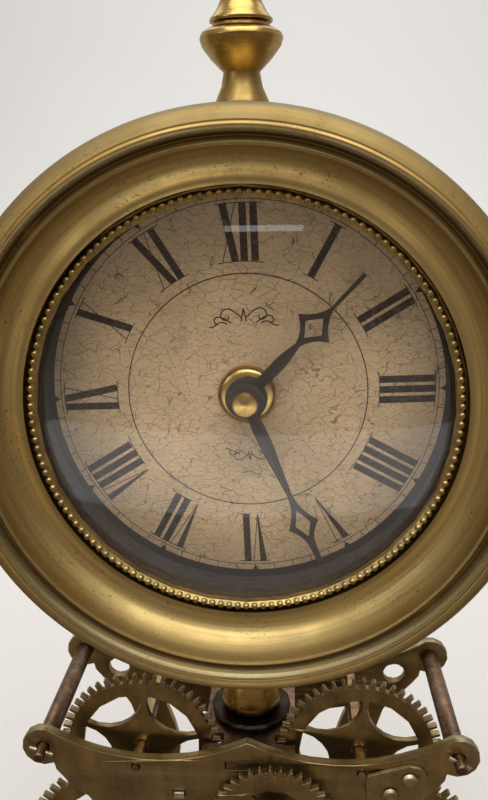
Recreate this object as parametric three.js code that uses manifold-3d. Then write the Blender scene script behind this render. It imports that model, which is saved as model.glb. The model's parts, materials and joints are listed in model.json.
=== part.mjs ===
// Skeleton clock: a turned brass head on a stem, carried by a pierced two-plate frame full of wheels,
// on a moulded walnut base. Millimetres, +Z up, the dial faces -Y, the origin is under the middle of the base.
import * as THREE from 'three';
import { mergeVertices } from 'three/addons/utils/BufferGeometryUtils.js';
import Module from 'manifold-3d';

const wasm = await Module();
wasm.setup();

// ---------------------------------------------------------------- driving dimensions
const GAP = 0.3;                 // clearance between touching pieces
const STEM_RISE = 30.6;          // frame's strap to the drum above it
const DIAL_FRONT = 3.5;          // Y of the printed face of the dial

// base
const BASE_WIDTH = 176;
const BASE_DEPTH = 104;
const BASE_TOP = 23.4;           // height of the upper face of the wood
const FELT = 1;
const PLINTH_HEIGHT = 8;
const PLINTH_STEP = 5;           // how far the upper part stands in from the plinth

// head
const DIAL_RADIUS = 62.6;
const CASE_MARGIN = 13.6;        // how far the drum stands out beyond the dial
const BEZEL_LIP = 2;             // how far the bezel stands out beyond the drum
const BEZEL_DEPTH = 7.3;         // the bezel's nose in front of the drum
const BEAD_MARGIN = 5.7;         // dial's edge to the inner edge of the beaded ring
const DRUM_WALL = 1.7;
const DRUM_FRONT = -28.3;        // distances along Y in the head are counted from the dial face
const DRUM_BACK = 24.5;
const DIAL_THICKNESS = 0.9;
const GLASS_THICKNESS = 1.6;
const GLASS_RISE = 4.9;
const GLASS_BACK = -17;          // flat rim of the glass, rear face
const BEAD_FLANGE = 0.7;
const SPACER_WALL = 2.6;
const SLEEVE_WALL = 1.7;
const SLEEVE_REACH = 2;          // bezel's sleeve behind the dial's back
const RETAINER = 1.2;            // thickness of the retaining ring
const COVER_THICKNESS = 1.5;
const COVER_WINDOW = 24;
const COVER_SCREWS = 3;
const COVER_SCREW_RADIUS = 1.3;
const COVER_SCREW_INSET = 3.6;   // drum's outside to the screws' circle
const COVER_FLANGE = 6.2;
const AXIS_BOLT = 2.5;           // radius of the stem's and the finial's bolts
const AXIS_BOLT_HEAD = 4.4;
const AXIS_BOLT_HEAD_HEIGHT = 3.4;

// movement and hands
const MOVEMENT_SIDE = 56;
const MOVEMENT_DEPTH = 15;
const BUSH_RADIUS = 4;
const HOUR_TUBE_RADIUS = 2.5;
const MINUTE_SHAFT_RADIUS = 1.6;
const SHAFT_NUT_RADIUS = 8.7;
const CAP_NUT_RADIUS = 3.8;
const HOUR_HAND_BACK = -5;       // rear faces of the hands
const MINUTE_HAND_BACK = -7.6;
const CAP_NUT_BACK = -8.8;
const KNOB_RADIUS = 5.9;
const KNOB_SHAFT = 1.8;
const CELL_RADIUS = 7;
const CELL_LENGTH = 49;
const CELL_BELOW = 17;           // dial's centre down to the cell
const MINUTE_HAND_MARGIN = 8.3;  // minute hand's tip to the dial's edge
const HOUR_HAND_SHORTER = 5.9;   // how much shorter the hour hand is
const HAND_THICKNESS = 0.8;
const HOUR = 1;
const MINUTE = 26.1;

// frame
const FRONT_FACE = -24.8;        // outer face of the front plate
const PLATE = 3;
const PLATE_GAP = 46.6;          // clear distance between the plates
const LOBE_REACH = 28;           // upper wheel's arbor out to the upper pillar
const LOBE_RISE = 6.4;           // and up to it
const LOBE_RADIUS = 6.4;
const LOWER_RISE = 9.3;          // plate's foot up to the lower pillars
const GREAT_RISE = 55.9;         // plate's foot up to the great wheels' arbors
const PILLAR_RADIUS = 2.9;
const SPIGOT_RADIUS = 1.75;
const SPIGOT_REACH = 5;
const PIN_RADIUS = 0.65;
const PIN_LENGTH = 7.4;
const STRAP_WIDTH = 28.6;
const STRAP_THICKNESS = 2.8;
const STRAP_DROP = 3.4;          // upper pillars down to the strap's top
const TENON_WIDTH = 13;
const FOOT_TENON = 13;
const FOOT_BAR_WIDTH = 20;
const BASE_BOLT_RADIUS = 1.8;
const BASE_BOLT_HEAD = 5;
const BASE_BOLT_HEAD_HEIGHT = 2.6;
const CORNER_SCREW_RADIUS = 1.2;
const CORNER_THICKNESS = 1.4;
const STUD_WIDTH = 3.2;
const STUD_HEIGHT = 2.2;

// wheel work
const FINE_MODULE = 0.968;
const GREAT_MODULE = 1.16;
const UPPER_TEETH = 50;
const FRONT_TEETH = 36;
const PINION_LEAVES = 11;
const CENTRE_TEETH = 34;
const GREAT_TEETH = 63;
const GREAT_PINION_LEAVES = 12;
const WHEEL = 2;                 // thickness of every wheel
const ARBOR_RADIUS = 2.2;
const SLIM_ARBOR_RADIUS = 1.6;
const PIVOT_RADIUS = 1.1;
const GREAT_LEAN = 22.5;         // degrees above level of the lines between meshing arbors, from the outer
const PINION_LEAN = 69.89;       // great arbor to the centre, the centre to the pinion arbor, and that one
const UPPER_LEAN = 26.75;        // to the upper arbor
const UPPER_PLANE = -14.5;       // Y of the middle of each layer of wheels
const GREAT_PLANE = -7.5;
const CENTRE_PLANE = -3;
const FRONT_WHEEL_PLANE = -28.8;

// ---------------------------------------------------------------- values worked out from them
const BACK_FACE = FRONT_FACE + 2 * PLATE + PLATE_GAP;
const INNER_FRONT = FRONT_FACE + PLATE;
const INNER_BACK = BACK_FACE - PLATE;
const GEAR_SPREAD = 0.12;        // extra centre distance that gives the teeth their play
const upperPitch = FINE_MODULE * UPPER_TEETH / 2;
const pinionPitch = FINE_MODULE * PINION_LEAVES / 2;
const centrePitch = FINE_MODULE * CENTRE_TEETH / 2;
const greatPitch = GREAT_MODULE * GREAT_TEETH / 2;
const frontPitch = FINE_MODULE * FRONT_TEETH / 2;
const greatPinionPitch = GREAT_MODULE * GREAT_PINION_LEAVES / 2;
const degrees = (value) => value * Math.PI / 180;
const PLATE_FOOT = BASE_TOP + GAP;
const GREAT_Z = PLATE_FOOT + GREAT_RISE;
const greatReach = greatPitch + greatPinionPitch + GEAR_SPREAD;
const GREAT_X = greatReach * Math.cos(degrees(GREAT_LEAN));
const CENTRE_Z = GREAT_Z + greatReach * Math.sin(degrees(GREAT_LEAN));
const pinionReach = centrePitch + pinionPitch + GEAR_SPREAD;
const PINION_X = pinionReach * Math.cos(degrees(PINION_LEAN));
const PINION_Z = CENTRE_Z + pinionReach * Math.sin(degrees(PINION_LEAN));
const upperReach = upperPitch + pinionPitch + GEAR_SPREAD;
const UPPER_X = PINION_X + upperReach * Math.cos(degrees(UPPER_LEAN));
const UPPER_Z = PINION_Z + upperReach * Math.sin(degrees(UPPER_LEAN));
const LOBE_X = UPPER_X + LOBE_REACH;
const UPPER_LOBE = UPPER_Z + LOBE_RISE;
const LOWER_LOBE = PLATE_FOOT + LOWER_RISE;
const STRAP_TOP = UPPER_LOBE - STRAP_DROP;
const DRUM_RADIUS = DIAL_RADIUS + CASE_MARGIN;
const BEZEL_RADIUS = DRUM_RADIUS + BEZEL_LIP;
const SIGHT_RADIUS = DIAL_RADIUS - BEAD_MARGIN;
const DIAL_HEIGHT = STRAP_TOP + STEM_RISE + DRUM_RADIUS;
const MINUTE_HAND_LENGTH = DIAL_RADIUS - MINUTE_HAND_MARGIN;
const HOUR_HAND_LENGTH = MINUTE_HAND_LENGTH - HOUR_HAND_SHORTER;

// facets round the large turned pieces of the head, and round the small ones
const ROUND = 32;
const SMALL_ROUND = 16;

// colours as the pieces would be drawn in a catalogue
const BRASS = { color: 0xb08a45, roughness: 0.35, metalness: 1 };
const OLD_BRASS = { color: 0x6d5a33, roughness: 0.5, metalness: 1 };
const COPPER = { color: 0x7a5040, roughness: 0.55, metalness: 0.9 };
const STEEL = { color: 0xb9bbbd, roughness: 0.3, metalness: 1 };
const BLACK = { color: 0x161412, roughness: 0.5, metalness: 0 };
const HAND_METAL = { color: 0x241c1a, roughness: 0.45, metalness: 0.6 };
const PARCHMENT = { color: 0xc2ae8c, roughness: 0.7, metalness: 0 };
const WALNUT = { color: 0x3c2417, roughness: 0.4, metalness: 0 };
const GLASS = { color: 0xe8eeee, roughness: 0.05, metalness: 0, transparent: true, opacity: 0.3 };
const FELT_GREEN = { color: 0x2a3a2c, roughness: 1, metalness: 0 };

// ---------------------------------------------------------------- geometry helpers
function signedVolume(geometry) {
  const p = geometry.attributes.position;
  const index = geometry.index;
  const a = new THREE.Vector3();
  const b = new THREE.Vector3();
  const c = new THREE.Vector3();
  let total = 0;
  for (let i = 0; i < index.count; i += 3) {
    a.fromBufferAttribute(p, index.getX(i));
    b.fromBufferAttribute(p, index.getX(i + 1));
    c.fromBufferAttribute(p, index.getX(i + 2));
    total += a.dot(b.cross(c)) / 6;
  }
  return total;
}

// one closed body with shared corners, no empty triangles and its faces pointing out
function closed(source) {
  const bare = source.clone();
  for (const name of Object.keys(bare.attributes)) {
    if (name !== 'position') bare.deleteAttribute(name);
  }
  const merged = mergeVertices(bare, 1e-4);
  const corners = merged.index.array;
  const kept = [];
  for (let i = 0; i < corners.length; i += 3) {
    const [a, b, c] = [corners[i], corners[i + 1], corners[i + 2]];
    if (a !== b && b !== c && c !== a) kept.push(a, b, c);
  }
  merged.setIndex(kept);
  if (signedVolume(merged) < 0) {
    for (let i = 0; i < kept.length; i += 3) [kept[i], kept[i + 1]] = [kept[i + 1], kept[i]];
    merged.setIndex(kept);
  }
  merged.computeVertexNormals();
  return merged;
}

function toManifold(geometry) {
  const solid = closed(geometry);
  return new wasm.Manifold(new wasm.Mesh({
    numProp: 3,
    vertProperties: new Float32Array(solid.attributes.position.array),
    triVerts: new Uint32Array(solid.index.array),
  }));
}

function fromManifold(manifold) {
  const mesh = manifold.getMesh();
  const geometry = new THREE.BufferGeometry();
  geometry.setAttribute('position', new THREE.BufferAttribute(new Float32Array(mesh.vertProperties), 3));
  geometry.setIndex([...mesh.triVerts]);
  return closed(geometry);
}

function cut(body, ...tools) {
  let result = toManifold(body);
  for (const tool of tools) result = result.subtract(toManifold(tool));
  return fromManifold(result);
}

function join(body, ...others) {
  let result = toManifold(body);
  for (const other of others) result = result.add(toManifold(other));
  return fromManifold(result);
}

// profile points are [radius, distance along the axis]
function spun(points, segments) {
  return new THREE.LatheGeometry(points.map(([r, h]) => new THREE.Vector2(r, h)), segments);
}

function turnedY(points, segments = ROUND) {
  return closed(spun([...points, points[0]], segments));
}

function turnedZ(points, segments = SMALL_ROUND) {
  return closed(spun([...points, points[0]], segments).rotateX(Math.PI / 2));
}

function rodY(radius, from, to, segments = 10) {
  return turnedY([[0, from], [radius, from], [radius, to], [0, to]], segments);
}

function rodZ(radius, from, to, segments = 12) {
  return turnedZ([[0, from], [radius, from], [radius, to], [0, to]], segments);
}

// a flat piece whose outline is drawn in X and Z, between two values of Y
function sheet(shape, front, back, options = {}) {
  const geometry = new THREE.ExtrudeGeometry(shape, { depth: back - front, bevelEnabled: false, ...options });
  return closed(geometry.rotateX(Math.PI / 2).translate(0, back, 0));
}

function block(x0, x1, y0, y1, z0, z1) {
  const box = new THREE.BoxGeometry(x1 - x0, y1 - y0, z1 - z0);
  return closed(box.translate((x0 + x1) / 2, (y0 + y1) / 2, (z0 + z1) / 2));
}

function at(geometry, x, y, z) {
  return geometry.clone().translate(x, y, z);
}

function polar(radius, angle, cx = 0, cz = 0) {
  return new THREE.Vector2(cx + radius * Math.cos(angle), cz + radius * Math.sin(angle));
}

function arc(cx, cz, radius, from, to, steps) {
  const points = [];
  for (let i = 0; i <= steps; i++) points.push(polar(radius, from + (to - from) * i / steps, cx, cz));
  return points;
}

// a hole's outline runs counterclockwise, whichever way its points were drawn
function opening(points) {
  return new THREE.Path(THREE.ShapeUtils.isClockWise(points) ? [...points].reverse() : points);
}

function circlePath(cx, cz, radius, segments = 16) {
  const half = Math.PI / segments;
  return opening(arc(cx, cz, radius, half, 2 * Math.PI - half, segments - 1));
}

// three points on a circle, walked from the first to the last
function arcThrough(a, b, c, steps) {
  const d = 2 * (a[0] * (b[1] - c[1]) + b[0] * (c[1] - a[1]) + c[0] * (a[1] - b[1]));
  const [sa, sb, sc] = [a, b, c].map(([x, z]) => x * x + z * z);
  const cx = (sa * (b[1] - c[1]) + sb * (c[1] - a[1]) + sc * (a[1] - b[1])) / d;
  const cz = (sa * (c[0] - b[0]) + sb * (a[0] - c[0]) + sc * (b[0] - a[0])) / d;
  const from = Math.atan2(a[1] - cz, a[0] - cx);
  let to = Math.atan2(c[1] - cz, c[0] - cx);
  const turns = d > 0 ? 1 : -1;
  while ((to - from) * turns < 0) to += turns * 2 * Math.PI;
  return arc(cx, cz, Math.hypot(a[0] - cx, a[1] - cz), from, to, steps);
}

function smooth(points, steps) {
  return new THREE.SplineCurve(points.map(([x, z]) => new THREE.Vector2(x, z))).getPoints(steps);
}

// ---------------------------------------------------------------- the scene graph
const clock = new THREE.Group();

function add(name, geometry, finish, parent = clock) {
  const mesh = new THREE.Mesh(geometry, new THREE.MeshStandardMaterial(finish));
  mesh.name = name;
  parent.add(mesh);
  return mesh;
}

const head = new THREE.Group();
head.position.set(0, DIAL_FRONT, DIAL_HEIGHT);
clock.add(head);

// ---------------------------------------------------------------- head: bezel, glass, dial and case
const sleeve = DIAL_RADIUS + GAP;
const drumBore = DRUM_RADIUS - DRUM_WALL;

// the bezel: bead seat, wide cove, dark groove, round nose and stepped rim, with a sleeve behind for
// the glass and dial and another that enters the case
const beadBack = GLASS_BACK - GLASS_THICKNESS - GAP;
const beadSeat = beadBack - BEAD_FLANGE;
const coveStart = beadSeat - 2.6;
const nose = DRUM_FRONT - BEZEL_DEPTH;
const coveEnd = nose + 2.2;
const liner = drumBore - GAP;
const LINER_WALL = 1.5;
const BEAD_LIP = 3.1;            // how far the bezel reaches in over the beaded ring
const acrossBezel = (share) => sleeve + share * (BEZEL_RADIUS - sleeve);
const downCove = (share) => coveStart + share * (coveEnd - coveStart);
const bezelProfile = [
  [sleeve - BEAD_LIP, beadSeat - GAP],
  [sleeve - BEAD_LIP, coveStart],
  [acrossBezel(-0.033), downCove(0.071)],
  [acrossBezel(0.131), downCove(0.196)],
  [acrossBezel(0.255), downCove(0.429)],
  [acrossBezel(0.333), downCove(0.714)],
  [acrossBezel(0.366), coveEnd],
  [acrossBezel(0.418), coveEnd],
  [acrossBezel(0.516), nose + 3.7],
  [acrossBezel(0.562), nose + 1.3],
  [acrossBezel(0.66), nose],
  [acrossBezel(0.765), nose + 0.5],
  [acrossBezel(0.895), nose + 1.4],
  [BEZEL_RADIUS, nose + 3.6],
  [BEZEL_RADIUS, nose + 6],
  [DRUM_RADIUS, DRUM_FRONT - GAP],
  [liner, DRUM_FRONT - GAP],
  [liner, DRUM_FRONT + BEZEL_DEPTH],
  [liner - LINER_WALL, DRUM_FRONT + BEZEL_DEPTH],
  [liner - LINER_WALL, nose + 6],
  [acrossBezel(0.451), nose + 5.7],
  [acrossBezel(0.268), downCove(0.16)],
  [sleeve + SLEEVE_WALL, coveStart + 0.8],
  [sleeve + SLEEVE_WALL, DIAL_THICKNESS + SLEEVE_REACH],
  [sleeve, DIAL_THICKNESS + SLEEVE_REACH],
  [sleeve, beadSeat - GAP],
];
add('bezel', turnedY(bezelProfile), BRASS, head);

add('bead_ring', turnedY([
  [SIGHT_RADIUS, beadBack],
  [DIAL_RADIUS, beadBack],
  [DIAL_RADIUS, beadSeat],
  [SIGHT_RADIUS + 2.3, beadSeat],
  [SIGHT_RADIUS + 2.3, beadSeat - 1.6],
  [SIGHT_RADIUS + 1.2, beadSeat - 2.6],
  [SIGHT_RADIUS, beadSeat - 1.6],
]), BRASS, head);

// a domed glass: flat rim, both faces sections of a sphere
function domeFace(edgeRadius, edge, rise) {
  const ball = (edgeRadius ** 2 + rise ** 2) / (2 * rise);
  const points = [];
  for (let i = 0; i <= 4; i++) {
    const r = edgeRadius * i / 4;
    points.push([r, edge - rise + ball - Math.sqrt(ball ** 2 - r ** 2)]);
  }
  return points;
}
const glassFront = domeFace(SIGHT_RADIUS - 0.5, GLASS_BACK - GLASS_THICKNESS, GLASS_RISE);
const glassRear = domeFace(SIGHT_RADIUS - 1, GLASS_BACK, GLASS_RISE).reverse();
add('glass', turnedY([
  ...glassFront,
  [DIAL_RADIUS, GLASS_BACK - GLASS_THICKNESS],
  [DIAL_RADIUS, GLASS_BACK],
  ...glassRear,
]), GLASS, head);

add('dial_spacer', turnedY([
  [DIAL_RADIUS - SPACER_WALL, GLASS_BACK + GAP],
  [DIAL_RADIUS, GLASS_BACK + GAP],
  [DIAL_RADIUS, -GAP],
  [DIAL_RADIUS - SPACER_WALL, -GAP],
]), BLACK, head);

add('dial', turnedY([
  [BUSH_RADIUS + GAP, 0],
  [DIAL_RADIUS, 0],
  [DIAL_RADIUS, DIAL_THICKNESS],
  [BUSH_RADIUS + GAP, DIAL_THICKNESS],
]), PARCHMENT, head);

add('retaining_ring', turnedY([
  [DIAL_RADIUS - SPACER_WALL, DIAL_THICKNESS + GAP],
  [DIAL_RADIUS, DIAL_THICKNESS + GAP],
  [DIAL_RADIUS, DIAL_THICKNESS + GAP + RETAINER],
  [DIAL_RADIUS - SPACER_WALL, DIAL_THICKNESS + GAP + RETAINER],
]), STEEL, head);

// the case is a drum; the stem bolt and the finial bolt pass through its wall
const drum = turnedY([
  [drumBore, DRUM_FRONT],
  [DRUM_RADIUS, DRUM_FRONT],
  [DRUM_RADIUS, DRUM_BACK],
  [DRUM_RADIUS - COVER_FLANGE, DRUM_BACK],
  [DRUM_RADIUS - COVER_FLANGE, DRUM_BACK - DRUM_WALL],
  [drumBore, DRUM_BACK - DRUM_WALL],
]);
const screwCircle = DRUM_RADIUS - COVER_SCREW_INSET;
const screwAngles = [...Array(COVER_SCREWS)].map((_, i) => Math.PI / 2 + (2 * i + 1) * Math.PI / COVER_SCREWS);
const coverHole = (radius, angle) => {
  const p = polar(screwCircle, angle);
  return at(rodY(radius, DRUM_BACK - 6, DRUM_BACK + 6, 10), p.x, 0, p.y);
};
const boltHole = (radius) => at(rodZ(radius, -DRUM_RADIUS - 5, DRUM_RADIUS + 5, 16), 0, -DIAL_FRONT, 0);
const screwHoles = screwAngles.map((angle) => coverHole(COVER_SCREW_RADIUS + GAP, angle));
add('case_drum', cut(drum, boltHole(AXIS_BOLT + GAP), ...screwHoles), BRASS, head);

const coverFront = DRUM_BACK + GAP;
const cover = turnedY([
  [COVER_WINDOW, coverFront],
  [DRUM_RADIUS - 0.6, coverFront],
  [DRUM_RADIUS - 0.6, coverFront + COVER_THICKNESS],
  [COVER_WINDOW, coverFront + COVER_THICKNESS],
]);
add('rear_cover', cut(cover, ...screwHoles), BRASS, head);

const coverBack = coverFront + COVER_THICKNESS + GAP;
screwAngles.forEach((angle, i) => {
  const screw = turnedY([
    [0, coverBack + 1.5],
    [1.8, coverBack + 1.2],
    [2.4, coverBack],
    [COVER_SCREW_RADIUS, coverBack],
    [COVER_SCREW_RADIUS, DRUM_BACK - 4],
    [0, DRUM_BACK - 4],
  ], 12);
  const p = polar(screwCircle, angle);
  add(`cover_screw_${i + 1}`, screw, STEEL, head).position.set(p.x, 0, p.y);
});

// ---------------------------------------------------------------- movement and hands
const moveFront = DIAL_THICKNESS + GAP;
const moveBack = moveFront + MOVEMENT_DEPTH;
const half = MOVEMENT_SIDE / 2;
const CELL_Z = -CELL_BELOW;
const cellY = moveBack - CELL_RADIUS - 0.6;
const movementBody = cut(
  block(-half, half, moveFront, moveBack, -half, half),
  block(-CELL_LENGTH / 2 - 1.4, CELL_LENGTH / 2 + 1.4, cellY - CELL_RADIUS - GAP, moveBack + 1,
    CELL_Z - CELL_RADIUS - GAP, CELL_Z + CELL_RADIUS + GAP),
  rodY(KNOB_SHAFT + 0.4, moveBack - 3, moveBack + 1, 12),
);
const shafts = turnedY([
  [0, CAP_NUT_BACK - 2.5],
  [MINUTE_SHAFT_RADIUS, CAP_NUT_BACK - 2.5],
  [MINUTE_SHAFT_RADIUS, MINUTE_HAND_BACK + 1],
  [HOUR_TUBE_RADIUS, MINUTE_HAND_BACK + 1],
  [HOUR_TUBE_RADIUS, HOUR_HAND_BACK + 0.6],
  [BUSH_RADIUS, HOUR_HAND_BACK + 0.6],
  [BUSH_RADIUS, moveFront + 2],
  [0, moveFront + 2],
], 16);
add('movement_box', join(movementBody, shafts), BLACK, head);

const cell = turnedY([
  [0, -CELL_LENGTH / 2],
  [CELL_RADIUS, -CELL_LENGTH / 2],
  [CELL_RADIUS, CELL_LENGTH / 2 - 1.4],
  [2.6, CELL_LENGTH / 2 - 1.4],
  [2.6, CELL_LENGTH / 2],
  [0, CELL_LENGTH / 2],
], 16).rotateZ(-Math.PI / 2);
add('battery', cell, STEEL, head).position.set(0, cellY, CELL_Z);

add('set_knob', turnedY([
  [0, moveBack + 4.4],
  [KNOB_RADIUS - 0.5, moveBack + 4.4],
  [KNOB_RADIUS, moveBack + 3.6],
  [KNOB_RADIUS, moveBack + 0.8],
  [KNOB_SHAFT, moveBack + 0.8],
  [KNOB_SHAFT, moveBack - 2.6],
  [0, moveBack - 2.6],
], 16), BLACK, head);

add('shaft_nut', turnedY([
  [BUSH_RADIUS + GAP, -GAP],
  [SHAFT_NUT_RADIUS, -GAP],
  [SHAFT_NUT_RADIUS, -0.9],
  [SHAFT_NUT_RADIUS - 1.3, -2.2],
  [SHAFT_NUT_RADIUS - 2.4, -3.1],
  [BUSH_RADIUS + GAP, -3.1],
], 20), BRASS, head);

// a pierced hand along +X: leaf-shaped blade, a lozenge with hollow sides, then a straight tip
function handShape(hubRadius, bore, blade, lozenge, tip) {
  const [inner, middle, outer] = lozenge.reach;
  const upper = [
    ...smooth([...blade, [inner, lozenge.neck]], 5),
    ...new THREE.QuadraticBezierCurve(new THREE.Vector2(inner, lozenge.neck),
      new THREE.Vector2(inner + 0.58 * (middle - inner), 0.24 * lozenge.half),
      new THREE.Vector2(middle, lozenge.half)).getPoints(4).slice(1),
    ...new THREE.QuadraticBezierCurve(new THREE.Vector2(middle, lozenge.half),
      new THREE.Vector2(outer - 0.58 * (outer - middle), 0.24 * lozenge.half),
      new THREE.Vector2(outer, tip.neck)).getPoints(4).slice(1),
    new THREE.Vector2(tip.length, tip.half),
  ];
  const lower = upper.map((p) => new THREE.Vector2(p.x, -p.y)).reverse();
  const open = Math.asin(upper[0].y / hubRadius);
  const rim = arc(0, 0, hubRadius, -open, open - 2 * Math.PI, 20).slice(1, -1);
  const shape = new THREE.Shape([...upper, ...lower, ...rim]);
  shape.holes.push(circlePath(0, 0, bore, 12));
  const [from, wide, to] = lozenge.window;
  shape.holes.push(opening([[from, 0], [wide, lozenge.windowHalf], [to, 0], [wide, -lozenge.windowHalf]]
    .map(([x, y]) => new THREE.Vector2(x, y))));
  return shape;
}

function addHand(name, shape, back, clockAngle) {
  const mesh = add(name, sheet(shape, back - HAND_THICKNESS, back), HAND_METAL, head);
  mesh.rotation.y = -(Math.PI / 2 - clockAngle);
}

const hourShape = handShape(6.2, HOUR_TUBE_RADIUS + GAP, [[6, 1.5], [13, 1.8], [17.5, 1.45]],
  { reach: [0.443 * HOUR_HAND_LENGTH, 0.58 * HOUR_HAND_LENGTH, 0.732 * HOUR_HAND_LENGTH], half: 6, neck: 0.75,
    window: [0.5 * HOUR_HAND_LENGTH, 0.58 * HOUR_HAND_LENGTH, 0.657 * HOUR_HAND_LENGTH], windowHalf: 3.1 },
  { length: HOUR_HAND_LENGTH, half: 0.62, neck: 0.5 });
addHand('hour_hand', hourShape, HOUR_HAND_BACK, (HOUR + MINUTE / 60) * Math.PI / 6);

const minuteShape = handShape(5.2, MINUTE_SHAFT_RADIUS + GAP, [[5, 1.6], [12, 2], [20, 1.5]],
  { reach: [0.585 * MINUTE_HAND_LENGTH, 0.77 * MINUTE_HAND_LENGTH, 0.905 * MINUTE_HAND_LENGTH], half: 4.7,
    neck: 0.68, window: [0.672 * MINUTE_HAND_LENGTH, 0.763 * MINUTE_HAND_LENGTH, 0.843 * MINUTE_HAND_LENGTH],
    windowHalf: 2.4 },
  { length: MINUTE_HAND_LENGTH, half: 0.8, neck: 1 });
addHand('minute_hand', minuteShape, MINUTE_HAND_BACK, MINUTE * Math.PI / 30);

add('cap_nut', turnedY([
  [0, CAP_NUT_BACK - 3.9],
  [CAP_NUT_RADIUS - 1.2, CAP_NUT_BACK - 4.2],
  [CAP_NUT_RADIUS, CAP_NUT_BACK - 3.4],
  [CAP_NUT_RADIUS, CAP_NUT_BACK],
  [MINUTE_SHAFT_RADIUS + GAP, CAP_NUT_BACK],
  [MINUTE_SHAFT_RADIUS + GAP, CAP_NUT_BACK - 2.9],
  [0, CAP_NUT_BACK - 2.9],
], 20), BRASS, head);

// ---------------------------------------------------------------- finial on top of the case
const drumTop = DIAL_HEIGHT + DRUM_RADIUS + GAP;
const boreZ = AXIS_BOLT + GAP;
const SPIRE_BORE_TOP = drumTop + 26;
add('finial_base', turnedZ([
  [boreZ, drumTop + 0.4],
  [7.7, drumTop + 0.4],
  [6.9, drumTop + 4],
  [5.4, drumTop + 7.4],
  [4.75, drumTop + 10.8],
  [5.1, drumTop + 11.1],
  [7.9, drumTop + 13.9],
  [10.2, drumTop + 16.9],
  [10.8, drumTop + 18.8],
  [10.4, drumTop + 20],
  [8.3, drumTop + 21.2],
  [7.3, drumTop + 21.2],
  [7.3, drumTop + 22.2],
  [boreZ, drumTop + 22.2],
]), BRASS);

const spireFoot = drumTop + 22.2 + GAP;
add('finial_spire', turnedZ([
  [boreZ, spireFoot],
  [8.1, spireFoot],
  [8.1, spireFoot + 0.8],
  [6.8, spireFoot + 2.2],
  [5.5, spireFoot + 4.6],
  [4.5, spireFoot + 7.6],
  [3.6, spireFoot + 11.6],
  [3.2, spireFoot + 14.6],
  [4.6, spireFoot + 15.4],
  [4.6, spireFoot + 16.2],
  [3.2, spireFoot + 17],
  [4.8, spireFoot + 19],
  [5.4, spireFoot + 21.2],
  [4.6, spireFoot + 23.6],
  [2.6, spireFoot + 25.6],
  [1.2, spireFoot + 28],
  [0, spireFoot + 28.6],
  [0, SPIRE_BORE_TOP + 2],
  [boreZ, SPIRE_BORE_TOP],
]), BRASS);

const drumCeiling = DIAL_HEIGHT + drumBore - 0.6;
add('finial_bolt', turnedZ([
  [0, drumCeiling - AXIS_BOLT_HEAD_HEIGHT],
  [AXIS_BOLT_HEAD, drumCeiling - AXIS_BOLT_HEAD_HEIGHT],
  [AXIS_BOLT_HEAD, drumCeiling],
  [AXIS_BOLT, drumCeiling],
  [AXIS_BOLT, SPIRE_BORE_TOP - 1],
  [0, SPIRE_BORE_TOP - 1],
], 10), STEEL);

// ---------------------------------------------------------------- stem between the case and the frame
const drumBottom = DIAL_HEIGHT - DRUM_RADIUS - GAP;
const washerTop = STRAP_TOP + GAP + 2.2;
const stemFoot = washerTop + GAP;
add('stem', turnedZ([
  [boreZ, stemFoot],
  [8.4, stemFoot],
  [9.4, stemFoot + 0.9],
  [10, stemFoot + 2.8],
  [9.9, stemFoot + 4.6],
  [8.9, stemFoot + 7.8],
  [7.1, stemFoot + 11],
  [5.2, stemFoot + 14],
  [4.9, stemFoot + 15],
  [5.6, stemFoot + 19],
  [6.9, drumBottom - 3.2],
  [8, drumBottom - 0.5],
  [boreZ, drumBottom - 0.5],
]), BRASS);

add('stem_washer', turnedZ([
  [boreZ, STRAP_TOP + GAP],
  [12, STRAP_TOP + GAP],
  [12.9, STRAP_TOP + GAP + 0.7],
  [12.9, washerTop - 0.6],
  [12.2, washerTop],
  [boreZ, washerTop],
]), BLACK);

const drumFloor = DIAL_HEIGHT - drumBore + 0.6;
const strapBottom = STRAP_TOP - STRAP_THICKNESS;
add('stem_bolt', turnedZ([
  [0, drumFloor + AXIS_BOLT_HEAD_HEIGHT],
  [AXIS_BOLT_HEAD, drumFloor + AXIS_BOLT_HEAD_HEIGHT],
  [AXIS_BOLT_HEAD, drumFloor],
  [AXIS_BOLT, drumFloor],
  [AXIS_BOLT, strapBottom - 4.6],
  [0, strapBottom - 4.6],
], 10), STEEL);
add('stem_nut', cut(rodZ(4.7, strapBottom - GAP - 3.6, strapBottom - GAP, 6),
  rodZ(boreZ, strapBottom - GAP - 5, strapBottom, 12)), STEEL);

// ---------------------------------------------------------------- frame plates
const FOOT_BAR_X = LOBE_X - 23;
const ARCH = FOOT_BAR_X - 14.5;    // half the width of the arch under the plates

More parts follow.
